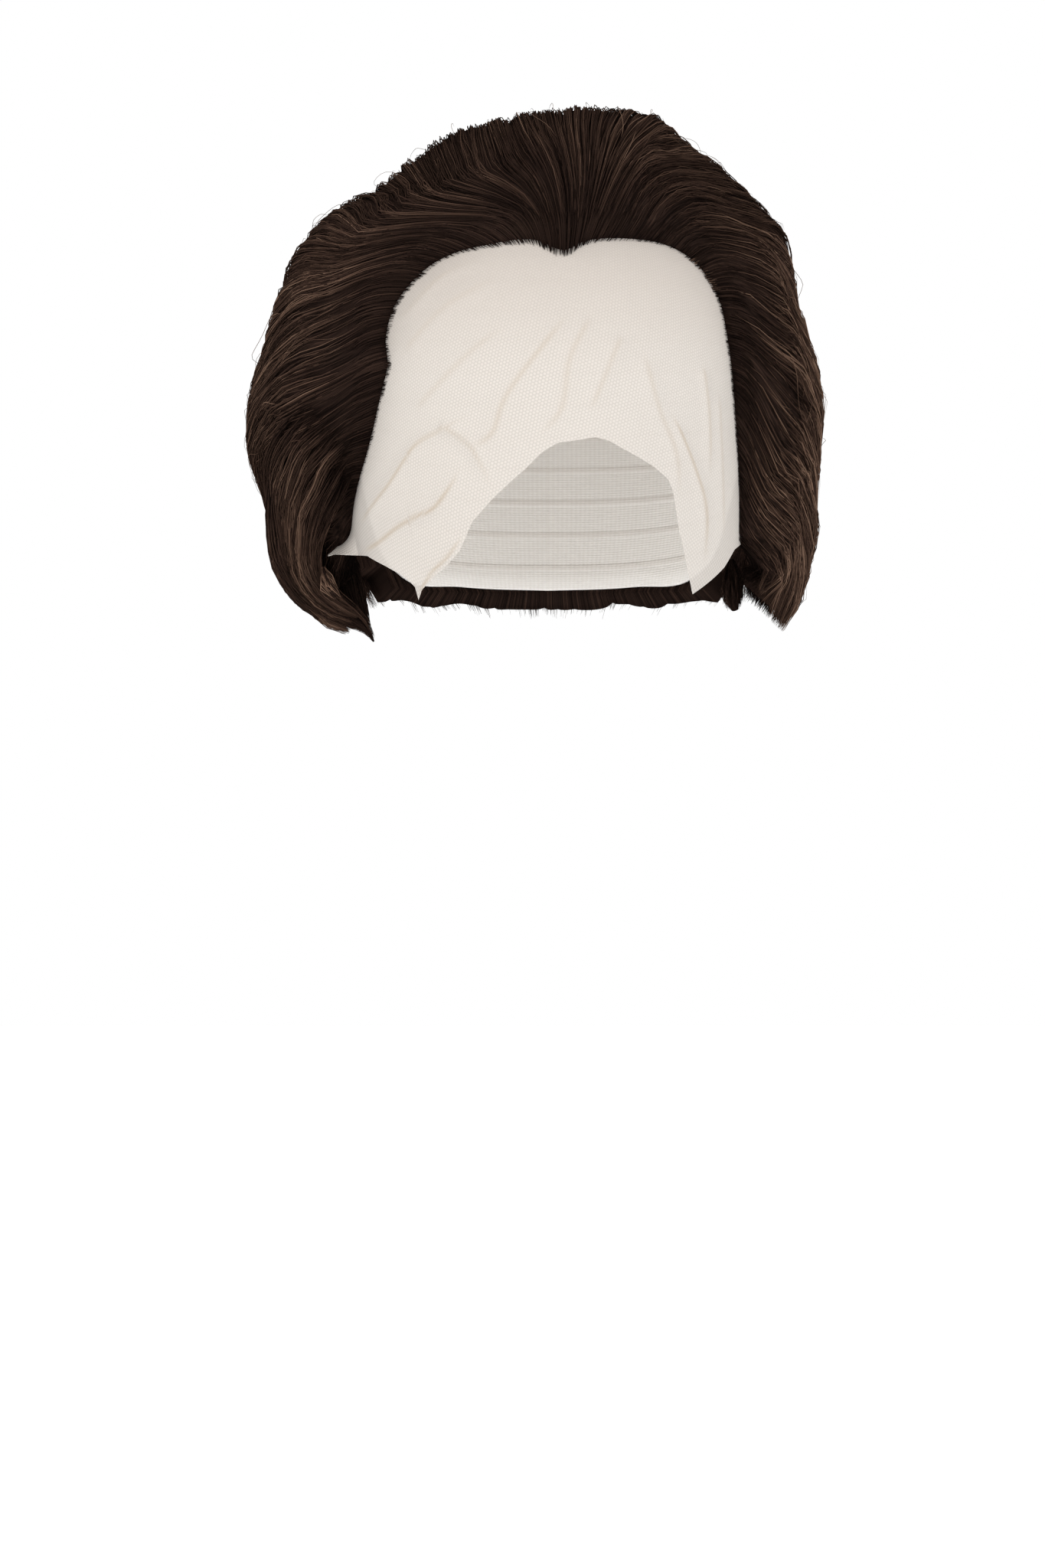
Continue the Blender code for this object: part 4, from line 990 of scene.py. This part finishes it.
# The sheer lace panel. Its cut edge and its creases are given as the camera sees them, in millimetres
lacePanel = {
    "columns": 290, "rows": 130, "lift": 0.7, "seamGap": 1.2, "azimuth": 78.0, "shortest": 0.8,
    "mapScale": (1.5, 1.62), "clearOver": 10.0,
    "edge": [(-71.2, -136.6), (-65.7, -136.8), (-59.1, -140.7), (-53.1, -144.0), (-48.4, -148.2),
             (-47.4, -153.0), (-45.8, -148.8), (-41.2, -144.0), (-37.9, -141.3), (-32.6, -135.4),
             (-30.7, -131.4), (-28.0, -124.8), (-19.3, -115.0), (-8.3, -105.1), (-2.5, -99.3),
             (3.2, -95.8), (10.9, -94.8), (16.7, -93.8), (21.2, -94.8), (27.0, -98.0), (32.8, -101.2),
             (37.9, -104.4), (43.1, -108.9), (45.0, -113.4), (47.0, -126.3), (50.2, -141.7),
             (52.1, -150.9), (59.2, -145.5), (63.7, -141.0), (67.4, -134.5)],
    "cornerHeights": (-138.0, -128.0),
    # Points along each crease, how far it stands up, its width and how much it shows
    "creases": [
        ([(-68.3, -126.1), (-65.0, -120.2), (-57.8, -110.9), (-51.8, -101.7), (-47.2, -95.7),
          (-37.9, -90.5), (-28.0, -85.1)], 1.1, 1.0, 0.9),
        ([(-68.7, -136.0), (-61.1, -131.4), (-54.5, -126.1), (-47.9, -122.2), (-41.2, -118.9),
          (-35.3, -110.9), (-32.6, -105.0)], 1.5, 1.3, 1.0),
        ([(-40.0, -90.0), (-36.4, -91.0), (-30.0, -95.5), (-26.3, -100.2), (-19.3, -115.1)],
         1.2, 1.0, 0.7),
        ([(-47.2, -151.0), (-43.0, -143.5), (-36.0, -136.0), (-31.0, -129.0)], 1.0, 1.0, 0.9),
        ([(15.7, -49.1), (7.6, -65.1), (4.6, -83.1), (-4.4, -94.1)], 0.9, 1.8, 0.4),
        ([(26.6, -56.0), (19.6, -73.1), (14.6, -85.1)], 0.9, 1.6, 0.4),
        ([(7.6, -48.2), (-14.3, -77.0), (-20.4, -92.1), (-29.4, -98.0)], 1.1, 1.8, 0.5),
        ([(-55.4, -52.1), (-38.4, -35.0), (-18.5, -26.0)], 0.5, 1.2, 0.35),
        ([(44.5, -85.0), (52.6, -105.0), (56.6, -120.0), (56.6, -143.0)], 1.2, 0.9, 0.9),
        ([(55.7, -67.2), (57.7, -85.1), (58.5, -110.0)], 0.9, 0.8, 0.6),
        ([(61.6, -77.0), (62.7, -105.0), (63.6, -133.0)], 0.9, 0.8, 0.7),
        ([(-53.3, -63.5), (-37.8, -46.6), (-18.0, -35.3)], 0.4, 1.6, 0.25),
        ([(-49.0, -84.6), (-32.1, -66.3), (-15.2, -52.2)], 0.5, 1.8, 0.3),
        ([(34.0, -62.0), (40.0, -84.0), (46.0, -100.0), (47.5, -118.0)], 0.9, 1.4, 0.4),
    ],
    # A crease's half width and its line's, and how it fades in at its first end and out at its last
    "foldHalf": 2.4, "lineHalf": 0.6, "fadeIn": 0.12, "fadeOut": 0.7,
    # The right corner flares out to a point in front of the hair: from where, over how much, and how far
    "flareAzimuth": (64.0, 14.0), "flareHeight": (126.5, 11.5), "flarePower": 1.8,
    "flare": (-8.0, -19.5, -0.6),
}
# Alpha is how closely the net covers what lies behind it
laceFinish = {
    "roughness": 0.75, "gloss": 0.15, "hole": 1.0, "threadAngles": (20.0, 80.0, 140.0),
    "open": (0.520, 0.483, 0.444, 1.0), "thread": (0.587, 0.545, 0.505, 1.0),
    "knotted": (0.466, 0.417, 0.377, 1.0), "knottedFrom": -0.085, "knottedTo": -0.035,
    "knottedShare": 0.75, "crease": (0.42, 0.355, 0.285, 1.0), "creaseShare": 0.9, "cover": 0.86,
    "threadCover": 0.06, "creaseCover": 0.1, "patchScale": 0.05, "patchCover": 0.06, "looseOpen": 0.6,
    "bump": 0.0003, "bumpStrength": 0.3,
}


def creaseHeight(x, z):
    # How far the creases lift the lace, and how much their lines show
    height, line = np.zeros(x.shape), np.zeros(x.shape)
    for points, tall, width, shown in lacePanel["creases"]:
        knots = np.arange(len(points), dtype=float)
        path = smoothThrough(knots, np.array(points, float), np.linspace(0.0, knots[-1], 8 * len(points)))
        nearest, along = np.full(x.shape, 1e9), np.zeros(x.shape)
        for k in range(len(path) - 1):
            run = path[k + 1] - path[k]
            share = np.clip(((x - path[k, 0]) * run[0] + (z - path[k, 1]) * run[1]) / (run @ run), 0.0, 1.0)
            gap = np.hypot(x - path[k, 0] - share * run[0], z - path[k, 1] - share * run[1])
            closer = gap < nearest
            nearest = np.where(closer, gap, nearest)
            along = np.where(closer, (k + share) / (len(path) - 1), along)
        fade = ease(along, 0.0, lacePanel["fadeIn"]) * (1.0 - ease(along, lacePanel["fadeOut"], 1.0))
        height += tall * fade * np.exp(-((nearest / (lacePanel["foldHalf"] * width)) ** 2))
        line = np.maximum(line, shown * fade * np.exp(-((nearest / (lacePanel["lineHalf"] * width)) ** 2)))
    return height, line


def insideHairline(x, z):
    # How far x and z lie inside the hairline
    line = np.array(hairline)
    half = len(line) // 2
    left = np.interp(z, line[:half, 1], line[:half, 0])
    right = np.interp(z, line[half + 2:, 1][::-1], line[half + 2:, 0][::-1])
    return np.minimum(np.minimum(x - left, right - x), line[half + 1, 1] - z)


def makeLaceFinish():
    look = laceFinish
    material, tree, shader = newFinish("sheerLaceFinish", look["roughness"], look["gloss"])
    flow = tree.node("ShaderNodeUVMap", {"uv_map": "flow"})
    across, down, _ = tree.split(flow)
    # Six-sided holes: three waves that cross at 60 degrees
    turn = 2 * math.pi / look["hole"]
    waves = [((across * math.sin(a) + down * math.cos(a)) * turn).maths("COSINE")
             for a in np.radians(look["threadAngles"])]
    net = ((waves[0] + waves[1] + waves[2]) / 3 + 0.5).smooth(0.0, 1.0)
    crease = tree.node("ShaderNodeAttribute", {"attribute_name": "crease"}, output=2)
    loose = tree.node("ShaderNodeAttribute", {"attribute_name": "loose"}, output=2)
    patch = tree.noise(flow, look["patchScale"], 2.0)
    colour = tree.mixed(net, look["open"], look["thread"])
    # The knots near the hairline make it a little darker there
    place = tree.node("ShaderNodeTexCoord", output=3)
    knotted = tree.split(place)[2].smooth(look["knottedFrom"], look["knottedTo"]) * look["knottedShare"]
    colour = tree.mixed(knotted, colour, look["knotted"])
    colour = tree.mixed(crease * look["creaseShare"], colour, look["crease"])
    tree.join(colour, shader.inputs["Base Color"])
    cover = look["cover"] + net * look["threadCover"] + crease * look["creaseCover"]
    cover = cover + (patch - 0.5) * look["patchCover"] - loose * (1.0 - net) * look["looseOpen"]
    tree.join(cover, shader.inputs["Alpha"])
    tree.join(tree.bump(look, net), shader.inputs["Normal"])
    return material


def makeLace():
    azimuths = np.linspace(-lacePanel["azimuth"], lacePanel["azimuth"], lacePanel["columns"])
    edge = np.array(lacePanel["edge"])
    seen = capSeenAt(edge[:, 0], edge[:, 1])
    edgeAzimuths = np.degrees(np.arctan2(seen[:, 0], -seen[:, 1]))
    heights = np.concatenate([lacePanel["cornerHeights"][:1], seen[:, 2], lacePanel["cornerHeights"][1:]])
    low = np.interp(azimuths, np.concatenate([azimuths[:1], edgeAzimuths, azimuths[-1:]]), heights)
    top = upToHeight(azimuths, capRimHeight(azimuths) - lacePanel["seamGap"])
    bottom = np.minimum(upToHeight(azimuths, low), top - lacePanel["shortest"])
    shares = np.linspace(0.0, 1.0, lacePanel["rows"])
    ups = top[None, :] + shares[:, None] * (bottom - top)[None, :]
    directions = towards(np.broadcast_to(azimuths, ups.shape), ups)
    flat = offCap(directions, np.zeros(ups.shape))
    height, line = creaseHeight(*fromCamera(flat))
    clear = ease(insideHairline(flat[..., 0], flat[..., 2]), 0.0, lacePanel["clearOver"])
    points = offCap(directions, lacePanel["lift"] + height * clear)
    begin, over = lacePanel["flareAzimuth"]
    aside = np.clip((-azimuths - begin) / over, 0.0, 1.0)[None, :]
    begin, over = lacePanel["flareHeight"]
    loose = aside * np.clip((-points[..., 2] - begin) / over, 0.0, 1.0) ** lacePanel["flarePower"]
    points = points + loose[..., None] * np.array(lacePanel["flare"])
    flowMap = np.stack([azimuths[None, :] + 0 * ups, 90.0 - ups], axis=-1) * lacePanel["mapScale"]
    faces = gridFaces(len(shares), len(azimuths), flip=True)
    piece = newPiece("lace_panel", points.reshape(-1, 3), faces, makeLaceFinish(), flowMap.reshape(-1, 2))
    for name, values in {"crease": line * clear, "loose": loose}.items():
        layer = piece.data.attributes.new(name, "FLOAT", "POINT")
        layer.data.foreach_set("value", values.astype(np.float32).ravel())
    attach(piece, "root")
    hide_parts("lace_front")


makeLace()
print("lace made")


# The plain pale studio: metres, watts and colours
studio = {
    "floorHeight": -1.0, "floorHalf": 14.0, "floorDark": (0.86, 0.86, 0.86, 1.0),
    "floorLight": (0.9, 0.9, 0.9, 1.0), "floorFade": (1.2, 2.6), "black": (0.0, 0.0, 0.0, 1.0),
    "white": (1.0, 1.0, 1.0, 1.0), "worldStrength": 1.0, "aim": (0.0, 0.0, -0.05),
}
lights = {
    "keyLight": {"place": (-0.7, -1.3, 0.75), "size": 0.9, "power": 8.0, "colour": (1.0, 0.98, 0.95)},
    "fillLight": {"place": (1.0, -1.1, 0.3), "size": 1.1, "power": 4.0, "colour": (0.96, 0.98, 1.0)},
}
photoView = {"sensor": 36.0, "seenHeight": 573.4}  # millimetres that the view covers on the plane y = 0


def makeFloor():
    half, z = studio["floorHalf"] / mm, studio["floorHeight"] / mm
    corners = [(-half, -half, z), (half, -half, z), (half, half, z), (-half, half, z)]
    material, tree, shader = newFinish("studioFloorFinish", 0.9, 0.1)
    place = tree.node("ShaderNodeTexCoord", output=3)
    grain = tree.noise(place, 3.0, 2.0)
    tree.join(tree.mixed(grain, studio["floorDark"], studio["floorLight"]), shader.inputs["Base Color"])
    # Far away the floor turns into the white of the backdrop
    far = tree.node("ShaderNodeVectorMath", {"operation": "LENGTH"}, {0: place}, output=1)
    glow = tree.mixed(far.smooth(*studio["floorFade"]), studio["black"], studio["white"])
    tree.join(glow, shader.inputs["Emission Color"])
    shader.inputs["Emission Strength"].default_value = 1.0
    floor = newPiece("studio_floor", corners, [(0, 1, 2, 3)], material)


def makeLight(name, look):
    data = bpy.data.lights.new(name, "AREA")
    data.shape = "DISK"
    data.size = look["size"]
    data.energy = look["power"]
    data.color = look["colour"]
    lamp = bpy.data.objects.new(name, data)
    lamp.location = look["place"]
    view = Vector(studio["aim"]) - Vector(look["place"])
    lamp.rotation_euler = view.to_track_quat("-Z", "Y").to_euler()
    bpy.context.scene.collection.objects.link(lamp)


def makeWorld():
    world = bpy.data.worlds.new("studioWhite")
    world.use_nodes = True
    backdrop = world.node_tree.nodes["Background"]
    backdrop.inputs["Color"].default_value = studio["white"]
    backdrop.inputs["Strength"].default_value = studio["worldStrength"]
    bpy.context.scene.world = world
    bpy.context.scene.view_settings.view_transform = "Standard"


def makeCamera():
    data = bpy.data.cameras.new("photoCamera")
    data.sensor_width = photoView["sensor"]
    data.lens = photoView["sensor"] / photoView["seenHeight"] * -eye[1]
    camera = bpy.data.objects.new("photoCamera", data)
    camera.location = tuple(eye * mm)
    camera.rotation_euler = (math.radians(90.0), 0.0, 0.0)
    bpy.context.scene.collection.objects.link(camera)
    bpy.context.scene.camera = camera


makeFloor()
for name, look in lights.items():
    makeLight(name, look)
makeWorld()
makeCamera()
print("studio made")
